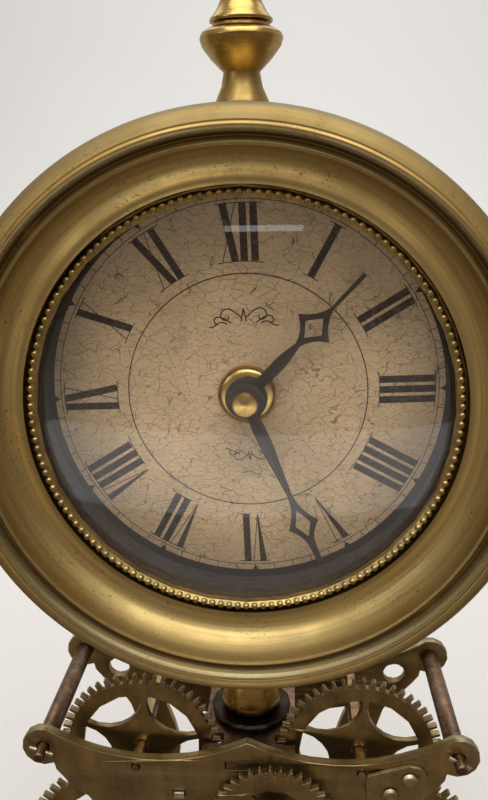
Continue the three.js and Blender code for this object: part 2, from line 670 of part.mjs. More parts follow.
// the right-hand half of a plate's outline, from the middle of the top edge clockwise to the middle of the foot
function halfOutline() {
  const top = UPPER_LOBE;
  const low = LOWER_LOBE;
  return [
    ...arcThrough([0, top + 3.4], [UPPER_X - 6.9, top - 3.6], [LOBE_X - 4.8, top + 4.2], 9),
    ...arc(LOBE_X, top, LOBE_RADIUS, 2.3, -2.05, 9).slice(1),
    ...smooth([[LOBE_X - 3.4, top - 8], [LOBE_X - 7.9, top - 13.7], [LOBE_X - 14.1, top - 19.4],
      [GREAT_X + 4.1, top - 29.5], [GREAT_X + 3.3, top - 39], [GREAT_X + 7.3, GREAT_Z + 8],
      [GREAT_X + 10, GREAT_Z], [GREAT_X + 7.1, GREAT_Z - 11], [GREAT_X + 5.9, GREAT_Z - 22],
      [LOBE_X - 11.8, low + 14], [LOBE_X - 5.8, low + 7]], 17),
    ...arc(LOBE_X, low, LOBE_RADIUS, 2.25, -2.3, 8),
    ...smooth([[LOBE_X - 5.4, low - 5.4], [LOBE_X - 8.5, PLATE_FOOT + 2], [LOBE_X - 11, PLATE_FOOT]], 3),
    new THREE.Vector2(ARCH + 2.5, PLATE_FOOT),
    ...arcThrough([ARCH, PLATE_FOOT + 2], [ARCH / 2, PLATE_FOOT + 7.6], [0, PLATE_FOOT + 9.6], 5),
  ];
}

// the window between the legs; it wraps round the tongue that carries the centre pivot
function windowOutline() {
  const sill = LOWER_LOBE + 6.5;
  const half = [
    ...arc(0, CENTRE_Z, 7, -Math.PI / 2, 0.35, 5).slice(1),
    ...smooth([[7.6, CENTRE_Z + 7], [PINION_X + 2.9, PINION_Z - 8.6], [PINION_X + 8.5, PINION_Z - 6.6],
      [UPPER_X - 10, PINION_Z - 3.6], [UPPER_X - 1.4, UPPER_LOBE - 21.6]], 6),
    ...smooth([[UPPER_X - 1, UPPER_LOBE - 23.2], [GREAT_X - 10.1, UPPER_LOBE - 31],
      [GREAT_X - 11.7, UPPER_LOBE - 42], [GREAT_X - 9.8, GREAT_Z + 4], [GREAT_X - 9.7, GREAT_Z - 8],
      [GREAT_X - 11.7, GREAT_Z - 20], [GREAT_X - 10.3, sill + 8], [GREAT_X - 12.9, sill + 2.6]], 14),
    ...smooth([[GREAT_X - 15.3, sill + 1], [12, sill + 0.2], [0, sill]], 3).slice(0, -1),
  ];
  const mirrored = half.map((p) => new THREE.Vector2(-p.x, p.y)).reverse();
  return [new THREE.Vector2(0, CENTRE_Z - 7), ...half, new THREE.Vector2(0, sill), ...mirrored];
}

const pivots = [
  [UPPER_X, UPPER_Z], [-UPPER_X, UPPER_Z],
  [PINION_X, PINION_Z], [-PINION_X, PINION_Z],
  [GREAT_X, GREAT_Z], [-GREAT_X, GREAT_Z],
  [0, CENTRE_Z],
];
const tenonTop = STRAP_TOP - 0.1;
const tenonBottom = STRAP_TOP - STRAP_THICKNESS + 0.1;
const footTenonTop = PLATE_FOOT + 4;
const footTenonBottom = PLATE_FOOT + 1.6;

function rectanglePath(x0, x1, z0, z1) {
  return opening([[x0, z0], [x1, z0], [x1, z1], [x0, z1]].map(([x, z]) => new THREE.Vector2(x, z)));
}

function plateShape(extraHoles) {
  const right = halfOutline();
  const left = right.slice(1, -1).map((p) => new THREE.Vector2(-p.x, p.y)).reverse();
  const shape = new THREE.Shape([...right, ...left]);
  shape.holes.push(opening(windowOutline()));
  for (const [x, z] of pivots) shape.holes.push(circlePath(x, z, PIVOT_RADIUS + GAP, 10));
  for (const side of [-1, 1]) {
    for (const z of [UPPER_LOBE, LOWER_LOBE]) {
      shape.holes.push(circlePath(side * LOBE_X, z, SPIGOT_RADIUS + GAP, 12));
    }
    const slot = FOOT_TENON / 2 + GAP;
    shape.holes.push(rectanglePath(side * FOOT_BAR_X - slot, side * FOOT_BAR_X + slot,
      footTenonBottom - GAP, footTenonTop + GAP));
  }
  shape.holes.push(rectanglePath(-TENON_WIDTH / 2 - GAP, TENON_WIDTH / 2 + GAP, tenonBottom - GAP,
    tenonTop + GAP));
  shape.holes.push(...extraHoles);
  return shape;
}

// the front plate takes the corner plate's screws and a stop stud; the rear one is pierced by two sight holes
const STUD_X = 13 - UPPER_X;
const STUD_Z = UPPER_Z - 9.4;
const nearUpper = ([x, z]) => [UPPER_X + x, UPPER_Z + z];
const cornerScrews = [[13.8, 0.1], [8.4, -5.3]].map(nearUpper);
const frontHoles = [
  ...cornerScrews.map(([x, z]) => circlePath(x, z, CORNER_SCREW_RADIUS + GAP, 8)),
  rectanglePath(STUD_X - STUD_WIDTH / 2 - GAP, STUD_X + STUD_WIDTH / 2 + GAP,
    STUD_Z - STUD_HEIGHT / 2 - GAP, STUD_Z + STUD_HEIGHT / 2 + GAP),
];
const rearHoles = [-1, 1].map((side) => circlePath(side * (LOBE_X - 12.2), UPPER_LOBE - 7, 3.8, 14));
add('front_plate', sheet(plateShape(frontHoles), FRONT_FACE, INNER_FRONT), OLD_BRASS);
add('rear_plate', sheet(plateShape(rearHoles), INNER_BACK, BACK_FACE), OLD_BRASS);

// ---------------------------------------------------------------- pillars with their cross pins
const PIN_PLACE = FRONT_FACE - 1.6;
const pinTilt = { upper_left: -19, upper_right: -30, lower_left: 24, lower_right: 12 };
for (const [side, sideName] of [[-1, 'left'], [1, 'right']]) {
  for (const [z, level] of [[UPPER_LOBE, 'upper'], [LOWER_LOBE, 'lower']]) {
    const place = `${level}_${sideName}`;
    const pillar = turnedY([
      [0, FRONT_FACE - SPIGOT_REACH],
      [SPIGOT_RADIUS - 0.4, FRONT_FACE - SPIGOT_REACH],
      [SPIGOT_RADIUS, FRONT_FACE - SPIGOT_REACH + 0.6],
      [SPIGOT_RADIUS, INNER_FRONT + GAP],
      [PILLAR_RADIUS, INNER_FRONT + GAP],
      [PILLAR_RADIUS, INNER_BACK - GAP],
      [SPIGOT_RADIUS, INNER_BACK - GAP],
      [SPIGOT_RADIUS, BACK_FACE + 0.8],
      [0, BACK_FACE + 0.8],
    ], 12);
    const bore = rodY(PIN_RADIUS + 0.35, -PIN_LENGTH, PIN_LENGTH, 8).rotateZ(Math.PI / 2);
    const tilt = pinTilt[place] * Math.PI / 180;
    const drilled = cut(pillar, at(bore.rotateY(-tilt), 0, PIN_PLACE, 0));
    add(`pillar_${place}`, drilled, COPPER).position.set(side * LOBE_X, 0, z);
    const pin = rodY(PIN_RADIUS, -PIN_LENGTH / 2, PIN_LENGTH / 2, 8).rotateZ(Math.PI / 2);
    const pinMesh = add(`pin_${place}`, pin, BRASS);
    pinMesh.position.set(side * LOBE_X, PIN_PLACE, z);
    pinMesh.rotation.y = -tilt;
  }
}

// ---------------------------------------------------------------- straps that tie the plates
const NOTCH = 2.2;
const upperTip = upperPitch + 1.2;
const notchEdge = UPPER_X - upperTip - 0.7;
function strapShape(width, front, back, tenon, notches) {
  // drawn in X and Y, seen from above
  const w = width / 2;
  const t = tenon / 2;
  const right = [[t, FRONT_FACE + GAP], [t, front], [w, front]];
  if (notches) {
    right.push([w, UPPER_PLANE - NOTCH], [notchEdge, UPPER_PLANE - NOTCH]);
    right.push([notchEdge, UPPER_PLANE + NOTCH], [w, UPPER_PLANE + NOTCH]);
  }
  right.push([w, back], [t, back], [t, BACK_FACE - GAP]);
  const left = right.map(([x, y]) => [-x, y]).reverse();
  return new THREE.Shape([...right, ...left].map(([x, y]) => new THREE.Vector2(x, y)));
}

function strap(width, thickness, tenon, notches, boltRadius) {
  const shape = strapShape(width, INNER_FRONT + GAP, INNER_BACK - GAP, tenon, notches);
  shape.holes.push(circlePath(0, 0, boltRadius, 12));
  return closed(new THREE.ExtrudeGeometry(shape, { depth: thickness, bevelEnabled: false }));
}

add('top_strap', strap(STRAP_WIDTH, STRAP_THICKNESS - 0.2, TENON_WIDTH, true, boreZ), COPPER)
  .position.set(0, 0, STRAP_TOP - STRAP_THICKNESS + 0.1);

// foot bars stand on the base; their thin tenons enter the plates above the feet
const barBottom = BASE_TOP + GAP;
const barTop = footTenonTop;
for (const [side, sideName] of [[-1, 'left'], [1, 'right']]) {
  const tie = strap(FOOT_BAR_WIDTH, footTenonTop - footTenonBottom, FOOT_TENON, false, BASE_BOLT_RADIUS + GAP);
  const pad = cut(block(-FOOT_BAR_WIDTH / 2, FOOT_BAR_WIDTH / 2, INNER_FRONT + GAP, INNER_BACK - GAP,
    barBottom, footTenonBottom + 0.5),
    rodZ(BASE_BOLT_RADIUS + GAP, barBottom - 1, footTenonBottom + 1, 12));
  add(`foot_bar_${sideName}`, join(at(tie, 0, 0, footTenonBottom), pad), COPPER)
    .position.set(side * FOOT_BAR_X, 0, 0);
  add(`base_bolt_${sideName}`, turnedZ([
    [0, FELT + GAP],
    [BASE_BOLT_HEAD, FELT + GAP],
    [BASE_BOLT_HEAD, FELT + GAP + BASE_BOLT_HEAD_HEIGHT],
    [BASE_BOLT_RADIUS, FELT + GAP + BASE_BOLT_HEAD_HEIGHT],
    [BASE_BOLT_RADIUS, barTop + 1],
    [0, barTop + 1],
  ], 12), STEEL).position.set(side * FOOT_BAR_X, 0, 0);
}

// ---------------------------------------------------------------- wheels
// tooth shares: root and tip widths as parts of one pitch
const WHEEL_TOOTH = { root: 0.46, tip: 0.26 };
const LEAF = { root: 0.4, tip: 0.2 };
const ADDENDUM = 1.15;
const DEDENDUM = 1.45;

function toothed(teeth, tip, root, phase, tooth) {
  const points = [];
  const pitch = 2 * Math.PI / teeth;
  for (let i = 0; i < teeth; i++) {
    const middle = phase + i * pitch;
    points.push(polar(root, middle - pitch * tooth.root / 2));
    points.push(polar(tip, middle - pitch * tooth.tip / 2));
    points.push(polar(tip, middle + pitch * tooth.tip / 2));
    points.push(polar(root, middle + pitch * tooth.root / 2));
  }
  return points;
}

// openings between the arms: arcs that swell towards the hub and leave each arm its waist, closed by the rim
function crossings(count, rimRadius, waist, armHalf, phase) {
  const reach = Math.PI / count - armHalf / rimRadius;
  const [ex, ez] = [rimRadius * Math.cos(reach), rimRadius * Math.sin(reach)];
  // circle through the two rim corners, half a waist short of the middle of the arm
  const slope = Math.sin(Math.PI / count);
  const along = ex - slope * waist;
  const square = 1 - slope ** 2;
  const centre = (along - Math.sqrt(along ** 2 - square * (rimRadius ** 2 - waist ** 2))) / square;
  const radius = centre * slope - waist;
  const corner = Math.atan2(ez, ex - centre);
  const paths = [];
  for (let i = 0; i < count; i++) {
    const turn = phase + (2 * i + 1) * Math.PI / count;
    const outline = [
      ...arc(0, 0, rimRadius, -reach, reach, 3),
      ...arc(centre, 0, radius, corner, 2 * Math.PI - corner, 7).slice(1, -1),
    ];
    paths.push(opening(outline.map((p) => p.rotateAround(new THREE.Vector2(), turn))));
  }
  return paths;
}

function wheel({ teeth, module, phase, tooth = WHEEL_TOOTH, bore, arms, rim, waist, armHalf, armPhase,
  addendum = ADDENDUM, dedendum = DEDENDUM, y }) {
  const pitchRadius = module * teeth / 2;
  const shape = new THREE.Shape(toothed(teeth, pitchRadius + addendum * module,
    pitchRadius - dedendum * module, phase, tooth));
  shape.holes.push(circlePath(0, 0, bore, 10));
  if (arms) shape.holes.push(...crossings(arms, rim, waist, armHalf, armPhase));
  return sheet(shape, y - WHEEL / 2, y + WHEEL / 2);
}

// an arbor with its pivots in both plates and the pinions cut on it
function arbor(radius, front, back, pinions) {
  const body = turnedY([
    [0, front],
    [PIVOT_RADIUS, front],
    [PIVOT_RADIUS, INNER_FRONT + GAP],
    [radius, INNER_FRONT + GAP],
    [radius, INNER_BACK - GAP],
    [PIVOT_RADIUS, INNER_BACK - GAP],
    [PIVOT_RADIUS, back],
    [0, back],
  ], 10);
  return pinions.length ? join(body, ...pinions) : body;
}

function pinion(leaves, module, phase, from, to) {
  const r = module * leaves / 2;
  const outline = toothed(leaves, r + 0.95 * module, r - 1.35 * module, phase, LEAF);
  return sheet(new THREE.Shape(outline), from, to);
}

// the phase of a driven gear that puts one of its gaps on a driver's tooth along their line of centres
function meshed(driverPhase, driverTeeth, teeth, from, to) {
  const line = Math.atan2(to[1] - from[1], to[0] - from[0]);
  return line + Math.PI - (driverPhase - line) * driverTeeth / teeth + Math.PI / teeth;
}

const frontEnd = FRONT_FACE - 0.4;
const backEnd = BACK_FACE + 0.4;
const rightPhase = degrees(1.4);
const leftPhase = degrees(5.8);
const upper = {
  right: { x: UPPER_X, phase: rightPhase, armPhase: degrees(85) },
  left: { x: -UPPER_X, phase: leftPhase, armPhase: degrees(84.3) },
};
const centrePhase = degrees(3);
const greatPinionPhase = degrees(12);

for (const [name, side] of [['left', -1], ['right', 1]]) {
  // upper wheel and its plain arbor
  const { x, phase, armPhase } = upper[name];
  add(`upper_wheel_${name}`, wheel({ teeth: UPPER_TEETH, module: FINE_MODULE, phase, bore: ARBOR_RADIUS + GAP,
    arms: 5, rim: upperPitch - 5.7, waist: 0.79, armHalf: 0.9, armPhase, y: UPPER_PLANE }), OLD_BRASS)
    .position.set(x, 0, UPPER_Z);
  add(`upper_arbor_${name}`, arbor(ARBOR_RADIUS, frontEnd, backEnd, []), COPPER).position.set(x, 0, UPPER_Z);

  // pinion arbor: one pinion meets the upper wheel, the other the centre wheel
  const here = [side * PINION_X, PINION_Z];
  const upperPinion = pinion(PINION_LEAVES, FINE_MODULE,
    meshed(phase, UPPER_TEETH, PINION_LEAVES, [x, UPPER_Z], here), UPPER_PLANE - 2, UPPER_PLANE + 2);
  const centrePinion = pinion(PINION_LEAVES, FINE_MODULE,
    meshed(centrePhase, CENTRE_TEETH, PINION_LEAVES, [0, CENTRE_Z], here), CENTRE_PLANE - 2, CENTRE_PLANE + 2);
  const reach = name === 'right' ? FRONT_WHEEL_PLANE - WHEEL / 2 - 1 : frontEnd;
  add(`pinion_arbor_${name}`, arbor(SLIM_ARBOR_RADIUS, reach, backEnd, [upperPinion, centrePinion]), COPPER)
    .position.set(here[0], 0, here[1]);

  // great wheel and its arbor
  const greatX = side * GREAT_X;
  const greatPhase = meshed(greatPinionPhase, GREAT_PINION_LEAVES, GREAT_TEETH, [0, CENTRE_Z],
    [greatX, GREAT_Z]);
  add(`great_wheel_${name}`, wheel({ teeth: GREAT_TEETH, module: GREAT_MODULE, phase: greatPhase,
    bore: ARBOR_RADIUS + GAP, arms: 5, rim: greatPitch - 7.5, waist: 0.43, armHalf: 1.3, armPhase: degrees(90),
    y: GREAT_PLANE }), OLD_BRASS).position.set(greatX, 0, GREAT_Z);
  add(`great_arbor_${name}`, arbor(ARBOR_RADIUS, frontEnd, backEnd, []), COPPER)
    .position.set(greatX, 0, GREAT_Z);
}

add('centre_wheel', wheel({ teeth: CENTRE_TEETH, module: FINE_MODULE, phase: centrePhase,
  bore: SLIM_ARBOR_RADIUS + GAP, arms: 4, rim: centrePitch - 4.8, waist: 0.84, armHalf: 0.9,
  armPhase: degrees(45), y: CENTRE_PLANE }), OLD_BRASS).position.set(0, 0, CENTRE_Z);
add('centre_arbor', arbor(SLIM_ARBOR_RADIUS, frontEnd, backEnd, [
  pinion(GREAT_PINION_LEAVES, GREAT_MODULE, greatPinionPhase, GREAT_PLANE - 2, GREAT_PLANE + 2),
]), COPPER).position.set(0, 0, CENTRE_Z);

// the wheel in front of the plate has pointed teeth
add('front_wheel', wheel({ teeth: FRONT_TEETH, module: FINE_MODULE, phase: degrees(2),
  tooth: { root: 0.8, tip: 0.12 }, bore: PIVOT_RADIUS + GAP, arms: 4, rim: frontPitch - 6.6, waist: 0.63,
  armHalf: 0.8, armPhase: degrees(40), addendum: 0.95, dedendum: 1.35, y: FRONT_WHEEL_PLANE }), OLD_BRASS)
  .position.set(PINION_X, 0, PINION_Z);

// ---------------------------------------------------------------- corner plate, its screws and the stop stud
const cornerOutline = new THREE.Shape([
  ...smooth([[3.2, -11.6], [1.9, -10], [1.2, -0.6], [2, 0.9]].map(nearUpper), 6),
  ...smooth([[13.6, 4.5], [17.6, 3.6], [19.3, 0.4]].map(nearUpper), 5),
  ...smooth([[18.9, -5.8], [17.4, -9], [14.6, -10]].map(nearUpper), 4),
]);
for (const [x, z] of cornerScrews) cornerOutline.holes.push(circlePath(x, z, CORNER_SCREW_RADIUS + GAP, 8));
const cornerBack = FRONT_FACE - GAP;
const cornerFront = cornerBack - CORNER_THICKNESS;
add('corner_plate', sheet(cornerOutline, cornerFront, cornerBack), OLD_BRASS);
cornerScrews.forEach(([x, z], i) => {
  const headBack = cornerFront - GAP;
  add(`corner_screw_${i + 1}`, turnedY([
    [0, headBack - 1.1],
    [1.5, headBack - 0.9],
    [2.3, headBack],
    [CORNER_SCREW_RADIUS, headBack],
    [CORNER_SCREW_RADIUS, INNER_FRONT + 0.4],
    [0, INNER_FRONT + 0.4],
  ], 12), OLD_BRASS).position.set(x, 0, z);
});
add('stop_stud', block(STUD_X - STUD_WIDTH / 2, STUD_X + STUD_WIDTH / 2, FRONT_FACE - 0.8, INNER_FRONT + 0.3,
  STUD_Z - STUD_HEIGHT / 2, STUD_Z + STUD_HEIGHT / 2), STEEL);

// ---------------------------------------------------------------- base
// a moulded block: plinth, hollow moulding, then the platform, drilled for the two base bolts
function slabRing(inset, z, corner) {
  const w = BASE_WIDTH / 2 - inset;
  const d = BASE_DEPTH / 2 - inset;
  const r = corner;
  const points = [];
  const corners = [[w - r, d - r, 0], [-w + r, d - r, 1], [-w + r, -d + r, 2], [w - r, -d + r, 3]];
  for (const [cx, cy, quarter] of corners) {
    for (let i = 0; i <= 2; i++) {
      const a = (quarter + i / 2) * Math.PI / 2;
      points.push(new THREE.Vector3(cx + r * Math.cos(a), cy + r * Math.sin(a), z));
    }
  }
  return points;
}

function stacked(rings) {
  const n = rings[0].length;
  const positions = rings.flat().flatMap((p) => [p.x, p.y, p.z]);
  const index = [];
  for (let k = 0; k + 1 < rings.length; k++) {
    for (let i = 0; i < n; i++) {
      const j = (i + 1) % n;
      index.push(k * n + i, k * n + j, (k + 1) * n + j, k * n + i, (k + 1) * n + j, (k + 1) * n + i);
    }
  }
  const last = (rings.length - 1) * n;
  for (let i = 1; i + 1 < n; i++) {
    index.push(0, i + 1, i, last, last + i, last + i + 1);
  }
  const geometry = new THREE.BufferGeometry();
  geometry.setAttribute('position', new THREE.Float32BufferAttribute(positions, 3));
  geometry.setIndex(index);
  return geometry;
}

const woodBottom = FELT + GAP;
const wood = stacked([
  slabRing(0.8, woodBottom, 3),
  slabRing(0, woodBottom + 0.8, 3.4),
  slabRing(0, PLINTH_HEIGHT - 1, 3.4),
  slabRing(0.9, PLINTH_HEIGHT, 3),
  slabRing(2.2, PLINTH_HEIGHT, 3),
  slabRing(PLINTH_STEP + 1.2, PLINTH_HEIGHT + 2.6, 3),
  slabRing(PLINTH_STEP + 3.4, BASE_TOP - 5, 3),
  slabRing(PLINTH_STEP + 2.6, BASE_TOP - 3.4, 3),
  slabRing(PLINTH_STEP + 2.6, BASE_TOP - 1, 3),
  slabRing(PLINTH_STEP + 3.6, BASE_TOP, 3),
]);
const boltHoles = [-1, 1].flatMap((side) => [
  at(rodZ(BASE_BOLT_HEAD + GAP, 0, FELT + GAP + BASE_BOLT_HEAD_HEIGHT + GAP, 12), side * FOOT_BAR_X, 0, 0),
  at(rodZ(BASE_BOLT_RADIUS + GAP, 0, BASE_TOP + 1, 12), side * FOOT_BAR_X, 0, 0),
]);
add('base', cut(wood, ...boltHoles), WALNUT);
add('base_felt', stacked([slabRing(2.5, 0, 3), slabRing(2.5, FELT, 3)]), FELT_GREEN);

export default clock;
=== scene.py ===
"""Skeleton clock: finishes and fine pieces built around the fixed frame of its solid parts."""

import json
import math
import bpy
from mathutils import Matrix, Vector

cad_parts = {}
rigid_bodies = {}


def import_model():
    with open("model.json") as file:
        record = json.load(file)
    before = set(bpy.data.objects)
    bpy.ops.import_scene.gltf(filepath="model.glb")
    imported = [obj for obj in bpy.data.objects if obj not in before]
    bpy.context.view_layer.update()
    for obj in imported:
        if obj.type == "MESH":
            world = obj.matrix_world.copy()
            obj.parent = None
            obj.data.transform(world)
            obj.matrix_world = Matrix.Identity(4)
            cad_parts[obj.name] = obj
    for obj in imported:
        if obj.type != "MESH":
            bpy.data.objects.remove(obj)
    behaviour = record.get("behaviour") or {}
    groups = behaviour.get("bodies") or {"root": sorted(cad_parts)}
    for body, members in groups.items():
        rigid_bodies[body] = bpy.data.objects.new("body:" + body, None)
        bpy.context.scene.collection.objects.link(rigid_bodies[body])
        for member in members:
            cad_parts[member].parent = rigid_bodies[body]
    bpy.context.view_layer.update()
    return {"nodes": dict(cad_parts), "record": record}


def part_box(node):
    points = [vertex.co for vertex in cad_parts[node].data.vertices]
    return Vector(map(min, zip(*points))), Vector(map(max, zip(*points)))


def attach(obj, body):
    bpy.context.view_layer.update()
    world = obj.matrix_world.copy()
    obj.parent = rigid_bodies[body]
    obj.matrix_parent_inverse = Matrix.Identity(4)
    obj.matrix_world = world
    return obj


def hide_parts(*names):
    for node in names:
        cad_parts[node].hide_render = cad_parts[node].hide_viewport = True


bl_info = {
    "name": "Skeleton Clock",
    "version": (1, 0, 0),
    "blender": (4, 5, 0),
    "location": "3D View > Sidebar > Clock",
    "description": "Models the turned head, dial, frame and wheels of a brass skeleton clock",
    "category": "Add Mesh",
}

from functools import partialmethod

import bmesh
import bpy
from mathutils import Matrix, Vector

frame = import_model()

MM = 0.001
FULL_TURN = 2 * math.pi
BODY_OF = {
    node: body
    for body, members in frame["record"]["behaviour"]["bodies"].items()
    for node in members
}
SLOT_OF = {part["node"]: part["material_slot"] for part in frame["record"]["subparts"]}


DIAL_LOW, DIAL_HIGH = (Vector(corner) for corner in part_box("dial"))
DIAL_CENTRE = Vector((0, DIAL_LOW.y, (DIAL_LOW.z + DIAL_HIGH.z) / 2))


# ---------------------------------------------------------------- sizes and colours a user would change

def length(name, description, millimetres):
    return bpy.props.FloatProperty(
        name=name, description=description, default=millimetres * MM, unit="LENGTH", precision=5
    )


def colour(name, description, *value):
    return bpy.props.FloatVectorProperty(
        name=name, description=description, default=value, subtype="COLOR", size=3, min=0, max=1
    )


class ClockSizes(bpy.types.PropertyGroup):
    """Sizes of the fine pieces"""

    print_radius: length("Cream radius", "Outer radius of the cream print", 57.5)
    inner_circle: length("Inner circle", "Radius of the thin circle inside the numerals", 35.2)
    track_circle: length("Track circle", "Radius of the minute track's line", 55.6)
    numeral_inner: length("Numeral foot", "Radius at which the numerals start", 38.6)
    numeral_outer: length("Numeral top", "Radius at which the numerals end", 54.6)
    stroke: length("Thick stroke", "Width of a numeral's thick stroke", 2.1)
    hairline: length("Hairline", "Width of the serifs and thin strokes", 0.26)
    bead_radius: length("Bead radius", "Radius of one bead of the ring", 1.12)
    bead_circle: length("Bead circle", "Radius of the circle of beads", 57.95)
    edge: length("Edge round", "Width of the worn rounding on plates and wheels", 0.28)
    knurl: length("Knurl depth", "Depth of the milling round the cap nut", 0.16)
    print_turn: bpy.props.FloatProperty(
        name="Print turn", description="How far the print sits turned on its plate",
        default=math.radians(-1.8), subtype="ANGLE",
    )
    beads: bpy.props.IntProperty(
        name="Beads", description="Number of beads round the glass", default=148, min=12
    )
    turning_steps: bpy.props.IntProperty(
        name="Turning steps", description="Facets round a turned piece", default=160, min=24
    )


class ClockColours(bpy.types.PropertyGroup):
    """Colours of the finishes"""

    brass: colour("Brass", "Bright aged brass of the head", 0.55, 0.415, 0.165)
    brass_dark: colour("Dull brass", "Darker patches on the head", 0.34, 0.235, 0.085)
    patina: colour("Patina", "Grey-green film in the grooves", 0.28, 0.24, 0.135)
    finial: colour("Finial brass", "Brighter brass of finial and stem", 0.52, 0.34, 0.10)
    bright: colour("Bright brass", "Polished brass nut and cap", 0.72, 0.50, 0.18)
    plate: colour("Plate", "Olive-brown plates", 0.50, 0.375, 0.175)
    plate_dark: colour("Dull plate", "Darker patches on the plates", 0.22, 0.155, 0.070)
    plate_light: colour("Plate edge", "Worn edges of the plates", 0.46, 0.40, 0.26)
    wheel: colour("Wheel", "Dark brass wheels", 0.42, 0.315, 0.15)
    pillar: colour("Pillar", "Reddish-brown pillars", 0.23, 0.105, 0.065)
    pillar_dark: colour("Pillar stain", "Dark stains on the pillars", 0.10, 0.045, 0.035)
    wire: colour("Wire", "Pale pins", 0.84, 0.76, 0.60)
    steel: colour("Steel", "Screws", 0.25, 0.19, 0.12)
    black_steel: colour("Black steel", "Blackened washer and bolts", 0.028, 0.026, 0.024)
    parchment: colour("Parchment", "Cream of the dial", 0.76, 0.555, 0.325)
    stain: colour("Stain", "Brown stains on the dial", 0.37, 0.26, 0.155)
    crack: colour("Crack", "Fine cracks in the cream", 0.09, 0.055, 0.03)
    ink: colour("Ink", "Numerals and border", 0.018, 0.012, 0.010)
    hand: colour("Hands", "Dark bronzed hands", 0.036, 0.019, 0.013)
    plastic: colour("Plastic", "Movement case", 0.018, 0.018, 0.020)
    wood: colour("Wood", "Base", 0.115, 0.045, 0.018)
    wood_dark: colour("Wood grain", "Dark grain of the base", 0.030, 0.011, 0.005)
    felt: colour("Felt", "Baize under the base", 0.015, 0.060, 0.028)
    backdrop: colour("Backdrop", "Plain pale floor and wall", 0.78, 0.78, 0.775)


def sizes():
    return bpy.context.scene.clock_sizes


def colours():
    return bpy.context.scene.clock_colours


# ---------------------------------------------------------------- node tools

class Value:
    """A number that varies over a surface, so that sums read as sums in the code."""

    def __init__(self, tree, socket):
        self.tree = tree
        self.socket = socket

    def math(self, operation, *others):
        node = self.tree.nodes.new("ShaderNodeMath")
        node.operation = operation
        for place, item in zip(node.inputs, (self, *others)):
            feed(self.tree, item, place)
        return Value(self.tree, node.outputs[0])

    def ramp(self, low, high, start=0.0, end=1.0):
        """This number carried from low..high to start..end, and held there."""
        node = self.tree.nodes.new("ShaderNodeMapRange")
        for place, item in zip(node.inputs, (self, low, high, start, end)):
            feed(self.tree, item, place)
        return Value(self.tree, node.outputs[0])


for name, operation in {
    "__add__": "ADD", "__sub__": "SUBTRACT", "__mul__": "MULTIPLY", "__truediv__": "DIVIDE",
    "size": "ABSOLUTE", "below": "LESS_THAN", "above": "GREATER_THAN", "most": "MAXIMUM",
}.items():
    setattr(Value, name, partialmethod(Value.math, operation))


def feed(tree, item, place):
    """Links a value or socket to a place, or sets a plain number or colour there."""
    if isinstance(item, (Value, bpy.types.NodeSocket)):
        tree.links.new(getattr(item, "socket", item), place)
    elif hasattr(item, "__len__"):
        place.default_value = (*item, 1) if place.type == "RGBA" and len(item) == 3 else item
    else:
        place.default_value = item


def put(tree, kind, outlet=0, settings=None, **inputs):
    """Adds a node, fills its inputs by name and gives one of its outputs."""
    node = tree.nodes.new(kind)
    for key, item in (settings or {}).items():
        setattr(node, key, item)
    for key, item in inputs.items():
        feed(tree, item, node.inputs[key.replace("_", " ")])
    return Value(tree, node.outputs[outlet])


def place_on_piece(tree):
    return tree.nodes.new("ShaderNodeTexCoord").outputs["Object"]


def stretched(tree, vector, scale=(1, 1, 1), shift=(0, 0, 0), turn=(0, 0, 0)):
    return put(tree, "ShaderNodeMapping", Vector=vector, Scale=scale, Location=shift, Rotation=turn)


def noise(tree, vector, scale, detail=3.0, rough=0.55, outlet=0):
    """A soft random pattern: its height, or its colour from outlet 1."""
    return put(
        tree, "ShaderNodeTexNoise", outlet, Vector=vector, Scale=scale, Detail=detail, Roughness=rough
    )


def blend(tree, amount, first, second):
    """A colour between two colours."""
    node = tree.nodes.new("ShaderNodeMix")
    node.data_type = "RGBA"
    for item, inlet in ((amount, 0), (first, 6), (second, 7)):
        feed(tree, item, node.inputs[inlet])
    return Value(tree, node.outputs[2])


NUMBER = "NodeSocketFloat"
COLOUR = "NodeSocketColor"
VECTOR = "NodeSocketVector"


def effect(name, inputs, outputs):
    """Makes a named group of nodes, once, from the build(tree, inlets) that it stands over."""

    def made(build):
        tree = bpy.data.node_groups.new(name, "ShaderNodeTree")
        for label, value in inputs.items():
            kind = value if isinstance(value, str) else NUMBER
            socket = tree.interface.new_socket(name=label, in_out="INPUT", socket_type=kind)
            if kind == NUMBER:
                socket.default_value = value
        for label in outputs:
            kind = COLOUR if label == "Colour" else NUMBER
            tree.interface.new_socket(name=label, in_out="OUTPUT", socket_type=kind)
        entry = tree.nodes.new("NodeGroupInput")
        leave = tree.nodes.new("NodeGroupOutput")
        inlets = {label: Value(tree, entry.outputs[label]) for label in inputs}
        for item, place in zip(build(tree, inlets), leave.inputs):
            feed(tree, item, place)
        return tree

    return lambda build: lambda: bpy.data.node_groups.get(name) or made(build)


def use(tree, group, **inputs):
    """Places a group and gives its outputs by name."""
    node = tree.nodes.new("ShaderNodeGroup")
    node.node_tree = group
    for key, item in inputs.items():
        feed(tree, item, node.inputs[key.replace("_", " ")])
    return {socket.name: Value(tree, socket) for socket in node.outputs}


